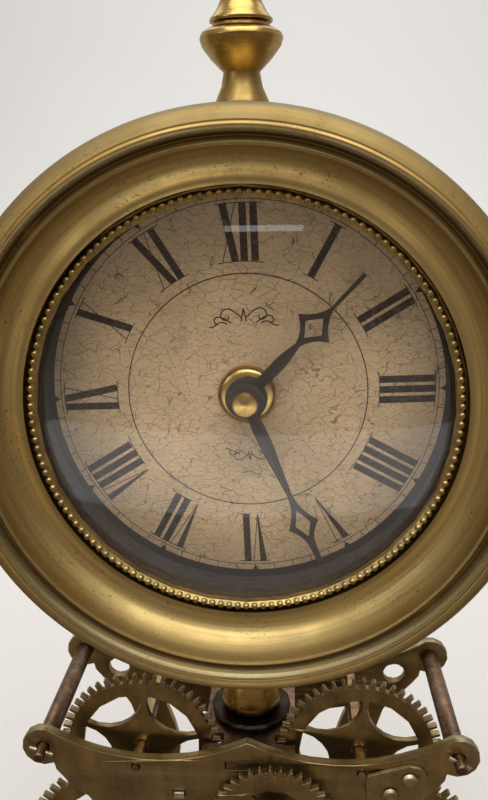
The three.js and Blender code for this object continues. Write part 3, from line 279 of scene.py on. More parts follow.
@effect(
    "Aged Tone",
    {"First": COLOUR, "Second": COLOUR, "Stain": COLOUR, "Patch Scale": 60.0, "Speck Scale": 1400.0,
     "Specks": 0.7},
    ("Colour", "Patches", "Pits"),
)
def aged_tone(tree, inlets):
    """Two tones in soft patches, with fine dark pits and stains."""
    place = place_on_piece(tree)
    patches = noise(tree, place, inlets["Patch Scale"], 4, 0.6).ramp(0.38, 0.64)
    tone = blend(tree, patches, inlets["First"], inlets["Second"])
    specks = noise(tree, place, inlets["Speck Scale"], 2, 0.6).ramp(0.60, 0.70)
    spread = noise(tree, place, inlets["Patch Scale"] * 1.7, 2, 0.5).ramp(0.42, 0.62)
    pits = specks * spread * inlets["Specks"]
    return blend(tree, pits, tone, inlets["Stain"]), patches, pits


@effect("Edge Wear", {"Wear": 0.8, "Dirt": 0.6}, ("Worn", "Dirty"))
def edge_wear(tree, inlets):
    """Worn light edges and dirt in the hollows, from how sharply the surface turns."""
    sharp = put(tree, "ShaderNodeNewGeometry", "Pointiness")
    broken = noise(tree, place_on_piece(tree), 500.0, 3, 0.6).ramp(0.3, 0.6)
    worn = sharp.ramp(0.515, 0.56) * broken * inlets["Wear"]
    return worn, sharp.ramp(0.49, 0.43) * inlets["Dirt"]


@effect(
    "Turning Lines", {"Vector": VECTOR, "Lines": 2500.0}, ("Fine", "Streaks", "Radius", "Direction")
)
def turning_lines(tree, inlets):
    """Fine tool lines round the given vector's Z."""
    parts = tree.nodes.new("ShaderNodeSeparateXYZ")
    feed(tree, inlets["Vector"], parts.inputs[0])
    x, y, z = (Value(tree, socket) for socket in parts.outputs)
    radius = (x * x + y * y).math("SQRT")
    lines = inlets["Lines"]
    around_axis = put(tree, "ShaderNodeCombineXYZ", X=radius * lines, Y=z * lines)
    fine = noise(tree, around_axis, 1.0, 3, 0.7)
    direction = y.math("ARCTAN2", x)
    streaks = put(
        tree, "ShaderNodeCombineXYZ", X=radius * lines * 0.35, Y=direction * 1.3, Z=z * lines * 0.35
    )
    return fine, noise(tree, streaks, 1.0, 2, 0.5), radius, direction


# Each run of scratches: how it is turned and how fine it is.
SCRATCH_RUNS = (((0.2, 0.4, 0.1), 1.0), ((0.1, -0.9, 0.3), 0.8), ((0.3, 1.5, 0.2), 1.2))


@effect("Scratches", {"Scale": 700.0, "Amount": 0.5}, ("Scratches",))
def scratched(tree, inlets):
    """Sparse thin scratches in crossing directions."""
    place = place_on_piece(tree)
    runs = []
    for turn, across in SCRATCH_RUNS:
        streaked = stretched(tree, place, (1.0, 1.0, 0.03), (0, 0, 0), turn)
        line = noise(tree, streaked, inlets["Scale"] * across, 2, 0.5)
        mask = (line - 0.5).size().ramp(0.012, 0.0)
        runs.append(mask * noise(tree, place, 90.0 * across, 1, 0.5).ramp(0.5, 0.62))
    return (runs[0].most(runs[1]).most(runs[2]) * inlets["Amount"],)


@effect("Straight Grain", {"Vector": VECTOR, "Scale": 900.0}, ("Fine", "Broad"))
def straight_grain(tree, inlets):
    """Straight brushed or sawn grain along the given vector's Z."""
    long_way = stretched(tree, inlets["Vector"], (1, 1, 0.035))
    fine = noise(tree, long_way, inlets["Scale"], 4, 0.65)
    return fine, noise(tree, long_way, inlets["Scale"] * 0.16, 3, 0.5)


CRACK_DRIFT = (0.006, 0.006, 0.006)
CRACK_STRETCH = (0.78, 0, 1.7)
# Each net of cracks: the scale of its cells, and the width and strength of its lines.
CRACK_NETS = ((250.0, 0.030, 0.9), (560.0, 0.042, 0.6))


@effect("Crackle", {"Amount": 1.0}, ("Cracks",))
def crackle(tree, inlets):
    """A net of fine cracks with cells of two sizes."""
    place = place_on_piece(tree)
    drift = noise(tree, place, 150.0, 3, 0.6, 1)
    bent = tree.nodes.new("ShaderNodeVectorMath")
    bent.operation = "MULTIPLY_ADD"
    for item, inlet in zip((drift, CRACK_DRIFT, place), bent.inputs):
        feed(tree, item, inlet)
    flat = stretched(tree, bent.outputs[0], CRACK_STRETCH)
    nets = []
    for scale, wide, strength in CRACK_NETS:
        cells = put(
            tree, "ShaderNodeTexVoronoi", settings={"feature": "DISTANCE_TO_EDGE"}, Vector=flat, Scale=scale
        )
        patch = noise(tree, place, scale * 0.25, 2, 0.5).ramp(0.25, 0.50, 0.30, 1.0)
        nets.append(cells.ramp(wide, 0.0) * patch * strength)
    return (nets[0].most(nets[1]) * inlets["Amount"],)


# ---------------------------------------------------------------- finishes

RELIEF = 0.1 * MM


def surface(name, **plain):
    """A new material with a Principled shader whose uniform values are set directly on it."""
    material = bpy.data.materials.new(name)
    material.use_nodes = True
    tree = material.node_tree
    shader = tree.nodes["Principled BSDF"]
    for key, item in plain.items():
        feed(tree, item, shader.inputs[key.replace("_", " ")])
    return material, tree, shader


def dress(tree, shader, tint, rough, height=None, strength=0.0):
    """Gives a shader its colour, its roughness and, with a height, its fine relief."""
    feed(tree, tint, shader.inputs["Base Color"])
    feed(tree, rough, shader.inputs["Roughness"])
    if height is not None:
        relief = put(tree, "ShaderNodeBump", Strength=strength, Distance=RELIEF, Height=height)
        feed(tree, relief, shader.inputs["Normal"])


def metal(name, first, second, rough=(0.28, 0.45), stain=None, patch=60.0, specks=0.6, wear=0.5,
          worn=None, dirt=0.5, grain=None, lines=None, bump_strength=0.25, scratches=0.25):
    """Aged metal: patches, pits, worn edges, scratches, and either turning lines or straight grain."""
    stain = stain or colours().pillar_dark
    material, tree, shader = surface(name, Metallic=1.0)
    tone = use(
        tree, aged_tone(), First=first, Second=second, Stain=stain, Patch_Scale=patch, Specks=specks
    )
    edges = use(tree, edge_wear(), Wear=wear, Dirt=dirt)
    scuffs = use(tree, scratched(), Amount=scratches)["Scratches"]
    tint = blend(tree, edges["Worn"], tone["Colour"], worn or first)
    tint = blend(tree, edges["Dirty"], tint, stain)
    height = tone["Pits"] * -0.6 - scuffs * 0.5
    gloss = tone["Patches"].ramp(0, 1, *rough)
    if lines is not None:
        axis, count = lines
        turned_lines = use(tree, turning_lines(), Vector=axis(tree), Lines=count)
        tint = blend(tree, turned_lines["Streaks"].ramp(0.4, 0.65, 0, 0.45), tint, second)
        height = height + turned_lines["Fine"] * 0.5
        gloss = gloss + turned_lines["Fine"].ramp(0.3, 0.7, -0.05, 0.07)
    if grain is not None:
        brushed = use(tree, straight_grain(), Vector=grain(tree), Scale=1500.0)
        tint = blend(tree, brushed["Broad"].ramp(0.40, 0.62, 0, 0.35), tint, second)
        tint = blend(tree, brushed["Fine"].ramp(0.48, 0.70, 0, 0.16), tint, worn or first)
        height = height + brushed["Fine"] * 0.6
    dress(tree, shader, tint, gloss + scuffs * 0.1, height, bump_strength)
    return material


def dial_axis(tree):
    """Object place with the dial's centre at the origin and its axis on Z."""
    centred = stretched(tree, place_on_piece(tree), shift=tuple(-DIAL_CENTRE))
    return stretched(tree, centred, turn=(math.radians(90), 0, 0))


def upright_axis(tree):
    return place_on_piece(tree)


def across_axis(tree):
    """Object place turned so that the depth axis lies on Z."""
    return stretched(tree, place_on_piece(tree), turn=(math.radians(90), 0, 0))


def sideways_axis(tree):
    """Object place turned so that the width axis lies on Z."""
    return stretched(tree, place_on_piece(tree), turn=(0, math.radians(90), 0))


# The bezel's colour by distance from the dial's axis, in millimetres.
BEZEL_BANDS = (
    (59.6, "brass_dark"), (60.6, "brass_dark"), (62.0, "brass"), (62.6, "finial"), (63.4, "brass"),
    (67.6, "brass"), (68.6, "brass_dark"), (69.6, "patina"), (70.8, "brass_dark"), (71.6, "patina"),
    (72.6, "patina"), (73.2, "finial"), (74.2, "brass"), (76.0, "brass_dark"), (78.0, "patina"),
)
BEZEL_SPAN = (55.0, 80.0)


def bezel_brass():
    c = colours()
    material, tree, shader = surface("Bezel Brass", Metallic=1.0)
    rings = use(tree, turning_lines(), Vector=dial_axis(tree), Lines=3200.0)
    low, high = BEZEL_SPAN
    bands = tree.nodes.new("ShaderNodeValToRGB")
    feed(tree, rings["Radius"].ramp(low * MM, high * MM), bands.inputs[0])
    stops = bands.color_ramp.elements
    for step, (radius, tone) in enumerate(BEZEL_BANDS):
        where = (radius - low) / (high - low)
        stop = stops[step] if step < 2 else stops.new(where)
        stop.position = where
        stop.color = (*getattr(c, tone), 1)
    band_colour = Value(tree, bands.outputs[0])
    tone = use(
        tree, aged_tone(), First=band_colour, Second=c.brass_dark, Stain=c.pillar_dark,
        Patch_Scale=42.0, Specks=0.75,
    )
    edges = use(tree, edge_wear(), Wear=0.35, Dirt=0.3)
    scuffs = use(tree, scratched(), Amount=0.45)["Scratches"]
    tint = blend(tree, 0.45, band_colour, tone["Colour"])
    tint = blend(tree, tone["Pits"], tint, c.pillar_dark)
    tint = blend(tree, rings["Streaks"].ramp(0.42, 0.66, 0, 0.5), tint, c.patina)
    tint = blend(tree, edges["Worn"], tint, c.finial)
    tint = blend(tree, edges["Dirty"], tint, c.pillar_dark)
    gloss = tone["Patches"].ramp(0, 1, 0.38, 0.50) + rings["Fine"].ramp(0.3, 0.7, -0.05, 0.08)
    gloss = gloss + rings["Radius"].ramp(72 * MM, 75 * MM, 0, 0.10)
    height = rings["Fine"] * 0.5 - scuffs * 0.6 - tone["Pits"] * 0.8
    dress(tree, shader, tint, gloss + scuffs * 0.15, height, 0.3)
    return material


def dial_print(tree, s):
    """Where the ink of the printed circles, minute track and border lies."""
    polar = use(tree, turning_lines(), Vector=dial_axis(tree), Lines=1.0)
    radius = polar["Radius"] / MM
    turn = polar["Direction"] * (180 / math.pi) - math.degrees(s.print_turn) + 720.0
    minute = ((turn / 6.0).math("FRACT") - 0.5).size().math("SUBTRACT", 0.5).size() * 6.0
    hour = ((turn / 30.0).math("FRACT") - 0.5).size().math("SUBTRACT", 0.5).size() * 30.0
    per_degree = radius * (math.pi / 180)
    track = s.track_circle / MM
    edge = s.print_radius / MM
    border = radius.above(edge)
    circles = (radius - s.inner_circle / MM).size().below(0.17)
    track_line = (radius - track).size().below(0.11)
    ticks = (minute * per_degree).below(0.11) * radius.above(track)
    arrows = (hour * per_degree).below((radius - (track + 0.4)) * 0.62)
    return border.most(circles).most(track_line).most(ticks).most(arrows), radius


def dial_paper():
    c = colours()
    material, tree, shader = surface("Crazed Dial", Metallic=0.0, Specular_IOR_Level=0.2)
    ink, radius = dial_print(tree, sizes())
    place = place_on_piece(tree)
    clouds = noise(tree, place, 38.0, 5, 0.6).ramp(0.36, 0.66)
    cream = blend(tree, clouds, c.parchment, blend(tree, 0.45, c.parchment, c.stain))
    stains = noise(tree, place, 85.0, 5, 0.65).ramp(0.58, 0.72, 0, 0.55)
    cream = blend(tree, stains, cream, c.stain)
    # The cream is darkened evenly towards its rim, next to the bezel's wall, in the stain colour.
    rim_darkening = radius.ramp(40.0, 58.0, 0, 0.35)
    cream = blend(tree, rim_darkening, cream, c.stain)
    cracks = use(tree, crackle(), Amount=1.0)["Cracks"]
    cream = blend(tree, cracks, cream, c.crack)
    printed = blend(tree, ink, cream, c.ink)
    dress(tree, shader, printed, clouds.ramp(0, 1, 0.5, 0.65), cracks * -1.0, 0.15)
    return material


def printed_ink():
    """The numerals' ink, broken by the same cracks as the cream."""
    c = colours()
    material, tree, shader = surface("Printed Ink", Metallic=0.0, Specular_IOR_Level=0.12)
    cracks = use(tree, crackle(), Amount=0.35)["Cracks"]
    faded = noise(tree, place_on_piece(tree), 260.0, 3, 0.6).ramp(0.35, 0.7)
    tint = blend(tree, faded, c.ink, c.hand)
    dress(tree, shader, blend(tree, cracks, tint, c.stain), faded.ramp(0, 1, 0.45, 0.6))
    return material


def clear_glass():
    """Domed glass that bends what is seen through it and lets the lamps reach the dial."""
    material, tree, shader = surface(
        "Dome Glass", Metallic=0.0, Transmission_Weight=1.0, IOR=1.46, Base_Color=(1, 1, 1)
    )
    smear = noise(tree, place_on_piece(tree), 45.0, 4, 0.6)
    feed(tree, smear.ramp(0.35, 0.7, 0.0, 0.035), shader.inputs["Roughness"])
    clear = tree.nodes.new("ShaderNodeBsdfTransparent")
    path = tree.nodes.new("ShaderNodeLightPath")
    either = tree.nodes.new("ShaderNodeMixShader")
    mixed = (path.outputs["Is Shadow Ray"], shader.outputs[0], clear.outputs[0])
    for item, inlet in zip(mixed, either.inputs):
        feed(tree, item, inlet)
    tree.links.new(either.outputs[0], tree.nodes["Material Output"].inputs["Surface"])
    return material


RUBBED = (0.5, 0.5, 0.5)


def dull(name, first, second, rough=(0.5, 0.7), scale=300.0, sheen=0.0, specular=0.4, strength=0.2):
    """Paint, plastic, card or cloth: two close tones and a fine texture."""
    material, tree, shader = surface(
        name, Metallic=0.0, Sheen_Weight=sheen, Specular_IOR_Level=specular
    )
    place = place_on_piece(tree)
    tone = noise(tree, place, scale * 0.2, 4, 0.6).ramp(0.35, 0.65)
    fine = noise(tree, place, scale * 8, 2, 0.6)
    edges = use(tree, edge_wear(), Wear=0.25, Dirt=0.2)
    rubbed = blend(tree, 0.3, first, RUBBED)
    tint = blend(tree, edges["Worn"], blend(tree, tone, first, second), rubbed)
    dress(tree, shader, tint, tone.ramp(0, 1, *rough), fine, strength)
    return material


def waxed_wood():
    c = colours()
    material, tree, shader = surface("Waxed Wood", Metallic=0.0, Coat_Weight=0.25, Coat_Roughness=0.25)
    grain = use(tree, straight_grain(), Vector=sideways_axis(tree), Scale=420.0)
    pores = use(tree, straight_grain(), Vector=sideways_axis(tree), Scale=1800.0)
    tint = blend(tree, grain["Fine"].ramp(0.36, 0.66), c.wood_dark, c.wood)
    tint = blend(tree, grain["Broad"].ramp(0.4, 0.65, 0, 0.5), tint, blend(tree, 0.4, c.wood, c.pillar))
    tint = blend(tree, pores["Fine"].ramp(0.62, 0.72, 0, 0.7), tint, c.wood_dark)
    edges = use(tree, edge_wear(), Wear=0.45, Dirt=0.4)
    tint = blend(tree, edges["Worn"], tint, c.pillar)
    height = grain["Fine"] - pores["Fine"].ramp(0.6, 0.72)
    dress(tree, shader, tint, grain["Fine"].ramp(0.3, 0.7, 0.30, 0.48), height, 0.15)
    return material


def finishes():
    """Every material, by the slot of the record that it stands for."""
    c = colours()
    return {
        "bezel_brass": bezel_brass(),
        "drum_brass": metal("Drum Brass", c.brass, c.brass_dark, (0.32, 0.48), patch=30.0,
                            lines=(dial_axis, 2600.0)),
        "bead_brass": metal("Bead Brass", c.brass, c.patina, (0.28, 0.40), patch=200.0, dirt=1.0),
        "dial_glass": clear_glass(),
        "black_card": dull("Black Card", c.ink, c.hand, (0.6, 0.75), specular=0.1),
        "dial_paper": dial_paper(),
        "cover_brass": metal("Cover Brass", c.brass, c.brass_dark, (0.34, 0.5), patch=35.0,
                             lines=(dial_axis, 2200.0)),
        "screw_steel": metal("Screw Steel", c.steel, c.plate, (0.3, 0.45), patch=300.0,
                             wear=0.8, worn=c.wire),
        "movement_plastic": dull("Moulded Plastic", c.plastic, c.ink, (0.42, 0.55), 900.0),
        "battery": dull("Cell Wrap", c.black_steel, c.plastic, (0.25, 0.35), 100.0, strength=0.05),
        "knob_plastic": dull("Knob Plastic", c.plastic, c.black_steel, (0.35, 0.5), 900.0),
        "bright_brass": metal("Bright Brass", c.bright, c.finial, (0.16, 0.28), c.brass_dark, 150.0,
                              specks=0.3, wear=0.2, dirt=0.3, lines=(dial_axis, 5200.0),
                              bump_strength=0.2, scratches=0.1),
        "hand_metal": dull("Bronzed Hands", c.hand, c.ink, (0.42, 0.55), 500.0, specular=0.25,
                           strength=0.12),
        "finial_brass": metal("Finial Brass", c.finial, c.brass_dark, (0.22, 0.36), patch=90.0,
                              specks=0.45, wear=0.5, worn=c.bright, dirt=0.9,
                              lines=(upright_axis, 3600.0), bump_strength=0.28),
        "dark_steel": metal("Black Steel", c.black_steel, c.ink, (0.3, 0.42), c.ink, 200.0,
                            wear=0.15, worn=c.steel),
        "plate_brass": metal("Plate Brass", c.plate, c.plate_dark, (0.34, 0.5), patch=45.0, specks=0.8,
                             wear=1.0, worn=c.plate_light, dirt=0.8, grain=upright_axis,
                             bump_strength=0.4, scratches=0.5),
        "pillar_metal": metal("Pillar Brass", c.pillar, c.pillar_dark, (0.36, 0.52), patch=170.0,
                              specks=0.9, wear=0.35, worn=c.plate_light, grain=across_axis,
                              bump_strength=0.45),
        "wheel_brass": metal("Wheel Brass", c.wheel, c.plate_dark, (0.33, 0.48), patch=110.0,
                             specks=0.7, wear=1.0, worn=c.plate_light, dirt=0.7, grain=upright_axis,
                             bump_strength=0.35, scratches=0.4),
        "pin_wire": metal("Pin Wire", c.wire, c.steel, (0.25, 0.4), patch=400.0, wear=0.5),
        "arbor_steel": metal("Arbor Steel", c.pillar, c.plate, (0.3, 0.45), patch=260.0,
                             specks=0.9, wear=0.2, worn=c.steel, lines=(across_axis, 2500.0)),
        "stud_steel": metal("Bright Stud", (0.72, 0.70, 0.66), c.steel, (0.16, 0.3), patch=400.0),
        "base_wood": waxed_wood(),
        "felt": dull("Baize", c.felt, (0.008, 0.035, 0.016), (0.85, 0.95), 1500.0, 0.4, 0.2, 0.6),
    }


FINISH = {}


# ---------------------------------------------------------------- modelling tools

def clear():
    """Nothing selected, so that an operator acts only on what it is given."""
    if bpy.context.mode != "OBJECT":
        bpy.ops.object.mode_set(mode="OBJECT")
    bpy.ops.object.select_all(action="DESELECT")


def take(piece):
    clear()
    piece.select_set(True)
    bpy.context.view_layer.objects.active = piece
    return piece


def settle(piece):
    """Puts the piece's place, turn and size into its mesh."""
    take(piece)
    bpy.ops.object.transform_apply(location=True, rotation=True, scale=True)
    return piece


def join(pieces):
    clear()
    for piece in pieces:
        piece.select_set(True)
    bpy.context.view_layer.objects.active = pieces[0]
    bpy.ops.object.join()
    return bpy.context.object


def modify(piece, kind, **settings):
    """Adds a modifier with its settings and applies it."""
    take(piece)
    modifier = piece.modifiers.new(kind.title(), kind)
    for key, item in settings.items():
        setattr(modifier, key, item)
    bpy.ops.object.modifier_apply(modifier=modifier.name)
    return piece


def whole_mesh(piece, tool, **settings):
    """Uses one of the mesh tools on all of a piece."""
    take(piece)
    bpy.ops.object.mode_set(mode="EDIT")
    bpy.ops.mesh.select_all(action="SELECT")
    tool(**settings)
    bpy.ops.object.mode_set(mode="OBJECT")
    return piece


def soften(piece, width, segments=2, angle=32):
    """Rounds the sharp edges by a small width."""
    return modify(
        piece, "BEVEL", width=width, segments=segments, limit_method="ANGLE",
        angle_limit=math.radians(angle), use_clamp_overlap=False,
    )


def finished(piece, name, slot, body, *nodes, angle=32):
    """Names, shades, dresses and mounts a piece."""
    settle(piece)
    piece.name = name
    piece.data.name = name
    bpy.ops.object.shade_smooth_by_angle(angle=math.radians(angle))
    piece.data.materials.clear()
    piece.data.materials.append(FINISH[slot])
    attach(piece, body)
    if nodes:
        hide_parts(*nodes)
    return piece


COPY_MERGE = 0.005 * MM
TURNED_MERGE = 0.002 * MM
FLAT = math.radians(0.4)


def copy_of(node, whole=True):
    """A merged copy of a solid's mesh, with its flat faces whole unless it is pierced."""
    piece = bpy.data.objects.new(node + "_fine", frame["nodes"][node].data.copy())
    bpy.context.scene.collection.objects.link(piece)
    whole_mesh(piece, bpy.ops.mesh.remove_doubles, threshold=COPY_MERGE)
    if whole:
        whole_mesh(piece, bpy.ops.mesh.dissolve_limited, angle_limit=FLAT)
    return piece


def refined(node, edge=0.0, segments=2, angle=32, whole=True):
    """A solid shown by its own merged copy with rounded edges."""
    piece = copy_of(node, whole)
    if edge:
        soften(piece, edge, segments, angle)
    return finished(piece, node + "_fine", SLOT_OF[node], BODY_OF[node], node, angle=angle)


def extent(node):
    """The low and high corners of a solid's box."""
    return [Vector(corner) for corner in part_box(node)]


def round_extent(node):
    """The radius, front and back of a solid that is round about the depth axis, in millimetres."""
    low, high = extent(node)
    return (high.x - low.x) / 2 / MM, low.y / MM, high.y / MM


def smooth_path(points, steps=6):
    """A curve through the points, which starts and ends at the first and last."""
    ends = [points[0], *points, points[-1]]
    path = []
    for a, b, c, d in zip(ends, ends[1:], ends[2:], ends[3:]):
        for step in range(steps):
            t = step / steps
            path.append(tuple(
                0.5 * (2 * q + (r - p) * t + (2 * p - 5 * q + 4 * r - s) * t * t
                       + (3 * q - p - 3 * r + s) * t ** 3)
                for p, q, r, s in zip(a, b, c, d)
            ))
    return [*path, tuple(points[-1])]


def turned(profile, centre, axis, steps=None):
    """Spins a profile of (radius, along) in millimetres round an axis through centre."""
    side = Vector((1, 0, 0))
    places = [centre + side * (radius * MM) + axis * (along * MM) for radius, along in profile]
    clear()
    bpy.ops.mesh.primitive_plane_add(size=MM, location=places[0])
    piece = settle(bpy.context.object)
    bpy.ops.object.mode_set(mode="EDIT")
    bpy.ops.mesh.select_all(action="SELECT")
    bpy.ops.mesh.merge(type="CENTER")
    for here, there in zip(places, places[1:]):
        bpy.ops.mesh.extrude_vertices_move(TRANSFORM_OT_translate={"value": there - here})
    bpy.ops.mesh.select_all(action="SELECT")
    bpy.ops.mesh.spin(
        steps=steps or sizes().turning_steps, angle=FULL_TURN, center=centre, axis=axis
    )
    bpy.ops.object.mode_set(mode="OBJECT")
    whole_mesh(piece, bpy.ops.mesh.remove_doubles, threshold=TURNED_MERGE)
    return whole_mesh(piece, bpy.ops.mesh.normals_make_consistent, inside=False)


def around(piece, count, centre, axis):
    """Copies a piece all the way round an axis, inside the same mesh."""
    return whole_mesh(
        piece, bpy.ops.mesh.spin, steps=count - 1, dupli=True,
        angle=FULL_TURN * (count - 1) / count, center=centre, axis=axis,
    )


BACK = Vector((0, 1, 0))
UP = Vector((0, 0, 1))
# Where the dial's axis crosses the depth of the frame's origin.
AXIS_START = Vector((0, 0, DIAL_CENTRE.z))
PRINT_LIFT = 0.03 * MM
INK_THICKNESS = 0.03 * MM


def on_dial(angle, radius, lift=PRINT_LIFT):
    """A place on the dial's face, by clock angle and distance from its centre."""
    return DIAL_CENTRE + Vector((math.sin(angle) * radius, -lift, math.cos(angle) * radius))


def bar(start, end, width, taper=1.0):
    """A flat stroke of ink between two places on the dial, narrowed at its start."""
    along = end - start
    lean = math.atan2(along.x, along.z)
    clear()
    bpy.ops.mesh.primitive_plane_add(
        size=1, location=(start + end) / 2, rotation=(math.radians(90), lean, 0)
    )
    stroke = bpy.context.object
    stroke.scale = (width, along.length, 1)
    settle(stroke)
    if taper != 1.0:
        for vertex in stroke.data.vertices:
            vertex.select = (vertex.co - start).length < (vertex.co - end).length
        for face in stroke.data.polygons:
            face.select = False
        for rim in stroke.data.edges:
            rim.select = all(stroke.data.vertices[v].select for v in rim.vertices)
        bpy.ops.object.mode_set(mode="EDIT")
        bpy.ops.transform.resize(value=(taper, 1, taper), center_override=start)
        bpy.ops.object.mode_set(mode="OBJECT")
    return stroke


# ---------------------------------------------------------------- pieces

# The bezel's section: distance from the dial's axis, then distance along it from the dial's face.
COVE = (
    (59.8, -22.2), (60.6, -22.5), (62.4, -23.0), (64.9, -24.5), (66.9, -27.1), (68.0, -30.1), (68.45, -33.0)
)
ROLL = ((71.5, -34.3), (72.2, -35.2), (73.0, -35.5), (73.7, -35.0))
OUTER = ((74.1, -35.1), (75.4, -34.7), (76.8, -33.9), (77.8, -32.6), (78.1, -31.2))
BEZEL_BACK = ((77.7, -28.9), (69.0, -28.9), (66.0, -24.0), (63.0, -21.8), (59.8, -21.4), (59.8, -22.2))
BEZEL_SECTION = (
    *smooth_path(COVE, 6), (68.55, -33.35), (69.25, -33.4), (69.6, -33.2), (70.6, -31.9), (70.9, -31.9),
    (71.25, -32.4), *smooth_path(ROLL, 4), *smooth_path(OUTER, 4), (78.0, -29.8), (77.9, -29.6),
    *BEZEL_BACK,
)
BEZEL_STEPS = 256
# The solid's sleeve is kept behind this depth in front of the dial's face.
SLEEVE_FRONT = 21.0 * MM


class CLOCK_OT_bezel(bpy.types.Operator):
    """Spins the moulded bezel round the dial and keeps its sleeve from the solid"""

    bl_idname = "clock.bezel"
    bl_label = "Bezel"

    def execute(self, context):
        sleeve = copy_of("bezel")
        finished(sleeve, "bezel_sleeve", "bezel_brass", BODY_OF["bezel"], angle=40)
        cut = (0, DIAL_CENTRE.y - SLEEVE_FRONT, 0)
        whole_mesh(sleeve, bpy.ops.mesh.bisect, plane_co=cut, plane_no=BACK, clear_inner=True)
        ring = turned(BEZEL_SECTION, DIAL_CENTRE, BACK, BEZEL_STEPS)
        finished(ring, "bezel_fine", "bezel_brass", BODY_OF["bezel"], "bezel", angle=28)
        return {"FINISHED"}


# How far the beads' middles stand in front of the dial's face.
BEAD_FRONT = 21.5 * MM


class CLOCK_OT_beads(bpy.types.Operator):
    """Sets the beaded ring in front of the glass"""

    bl_idname = "clock.beads"
    bl_label = "Beaded Ring"

    def execute(self, context):
        s = sizes()
        flange = refined("bead_ring", angle=30)
        flange.name = "bead_flange"
        spot = Vector((s.bead_circle, DIAL_CENTRE.y - BEAD_FRONT, DIAL_CENTRE.z))
        clear()
        bpy.ops.mesh.primitive_uv_sphere_add(
            segments=8, ring_count=6, radius=s.bead_radius, location=spot
        )
        bead = settle(bpy.context.object)
        around(bead, s.beads, DIAL_CENTRE, BACK)
        finished(bead, "beads", "bead_brass", BODY_OF["bead_ring"], angle=80)
        return {"FINISHED"}


GLASS_THICKNESS = 1.6
GLASS_STEPS = 24


class CLOCK_OT_glass(bpy.types.Operator):
    """Spins the domed glass"""

    bl_idname = "clock.glass"
    bl_label = "Glass"

    def execute(self, context):
        rim, front, back = round_extent("glass")
        rise = back - front - GLASS_THICKNESS
        shares = [step / GLASS_STEPS for step in range(GLASS_STEPS + 1)]
        outer = [(rim * share, front + rise * share ** 2) for share in shares]
        inner = [(radius, along + GLASS_THICKNESS) for radius, along in reversed(outer)]
        dome = turned((*outer, *inner), AXIS_START, BACK)
        finished(dome, "glass_fine", "dial_glass", BODY_OF["glass"], "glass", angle=50)
        return {"FINISHED"}


NUMERALS = ("XII", "I", "II", "III", "IIII", "V", "VI", "VII", "VIII", "IX", "X", "XI")
STROKE_PITCH = {"I": 3.05, "V": 4.3, "X": 5.0}
# The strokes of each letter: how far their foot and top stand off its middle in millimetres, their
# width and how much they narrow at the foot.
LETTER_STROKES = {
    "I": ((0, 0, "stroke", 1.0),),
    "V": ((0.2, -1.2, "stroke", 0.12), (0.2, 1.9, "hairline", 1.0)),
    "X": ((1.5, -1.5, "stroke", 1.0), (-2.0, 2.0, "hairline", 1.0)),
}
SERIF_REACH = 1.0
SERIF_PIECES = 5


def numeral(text, hour):
    """The strokes of one numeral, set out round the dial with its feet to the centre."""
    s = sizes()
    foot, top = s.numeral_inner, s.numeral_outer
    middle_angle = math.radians(30 * hour) + s.print_turn
    width = sum(STROKE_PITCH[letter] for letter in text) * MM

    tangent = Vector((math.cos(middle_angle), 0, -math.sin(middle_angle)))

    def spot(across, radius):
        return on_dial(middle_angle, radius) + tangent * across

    strokes = []
    across = -width / 2
    for letter in text:
        room = STROKE_PITCH[letter] * MM
        centre = across + room / 2
        for low, high, weight, taper in LETTER_STROKES[letter]:
            start, end = spot(centre + low * MM, foot), spot(centre + high * MM, top)
            strokes.append(bar(start, end, getattr(s, weight), taper))
        across += room
    reach = width / 2 + SERIF_REACH * MM
    wedge = STROKE_PITCH["V"] * MM
    left_foot = -width / 2 + wedge if text[0] == "V" else -reach
    for radius, left, right in ((top, -reach, reach), (foot, left_foot, reach)):
        if text == "V" and radius == foot:
            continue
        spans = [left + (right - left) * k / SERIF_PIECES for k in range(SERIF_PIECES + 1)]
        for a, b in zip(spans, spans[1:]):
            places = [on_dial(middle_angle + u / radius, radius) for u in (a, b)]
            strokes.append(bar(*places, s.hairline))
    return join(strokes)


def inked(strokes, name):
    """Joins strokes into one thin layer of ink on the dial."""
    print_layer = join(strokes)
    modify(print_layer, "SOLIDIFY", thickness=INK_THICKNESS, offset=0)
    FINISH["ink"] = FINISH.get("ink") or printed_ink()
    finished(print_layer, name, "dial_paper", BODY_OF["dial"])
    print_layer.data.materials[0] = FINISH["ink"]


class CLOCK_OT_numerals(bpy.types.Operator):
    """Lays the inked numerals on the dial"""

    bl_idname = "clock.numerals"
    bl_label = "Numerals"

    def execute(self, context):
        inked([numeral(text, hour) for hour, text in enumerate(NUMERALS)], "numerals")
        return {"FINISHED"}


SWEEP_SHARE = 0.45
CURL_RADIUS = 0.75
SCROLL_STEPS = 34


def scroll(x, z, reach, height, turns=1.6):
    """A leaf scroll on the dial: a rising sweep that winds into a spiral at its end."""
    path = []
    curl = height * CURL_RADIUS
    for t in (step / SCROLL_STEPS for step in range(SCROLL_STEPS + 1)):
        if t < SWEEP_SHARE:
            k = t / SWEEP_SHARE
            path.append((x + reach * k, z + height * math.sin(k * math.pi * 0.5)))
        else:
            k = (t - SWEEP_SHARE) / (1 - SWEEP_SHARE)
            swing = math.pi / 2 - math.copysign(1, reach) * k * turns * math.pi
            size = curl * (1 - 0.8 * k)
            path.append((
                x + reach + math.cos(swing) * size, z + height - curl + math.sin(swing) * size
            ))
    return path


# Each flourish: its height over the dial's centre in millimetres, which way up it is, and its scale.
FLOURISHES = ((22.4, 1, 1.5), (-18.6, -1, 1.1))
FLOURISH_LINE = 0.25 * MM
SHORTEST_STROKE = 0.02 * MM


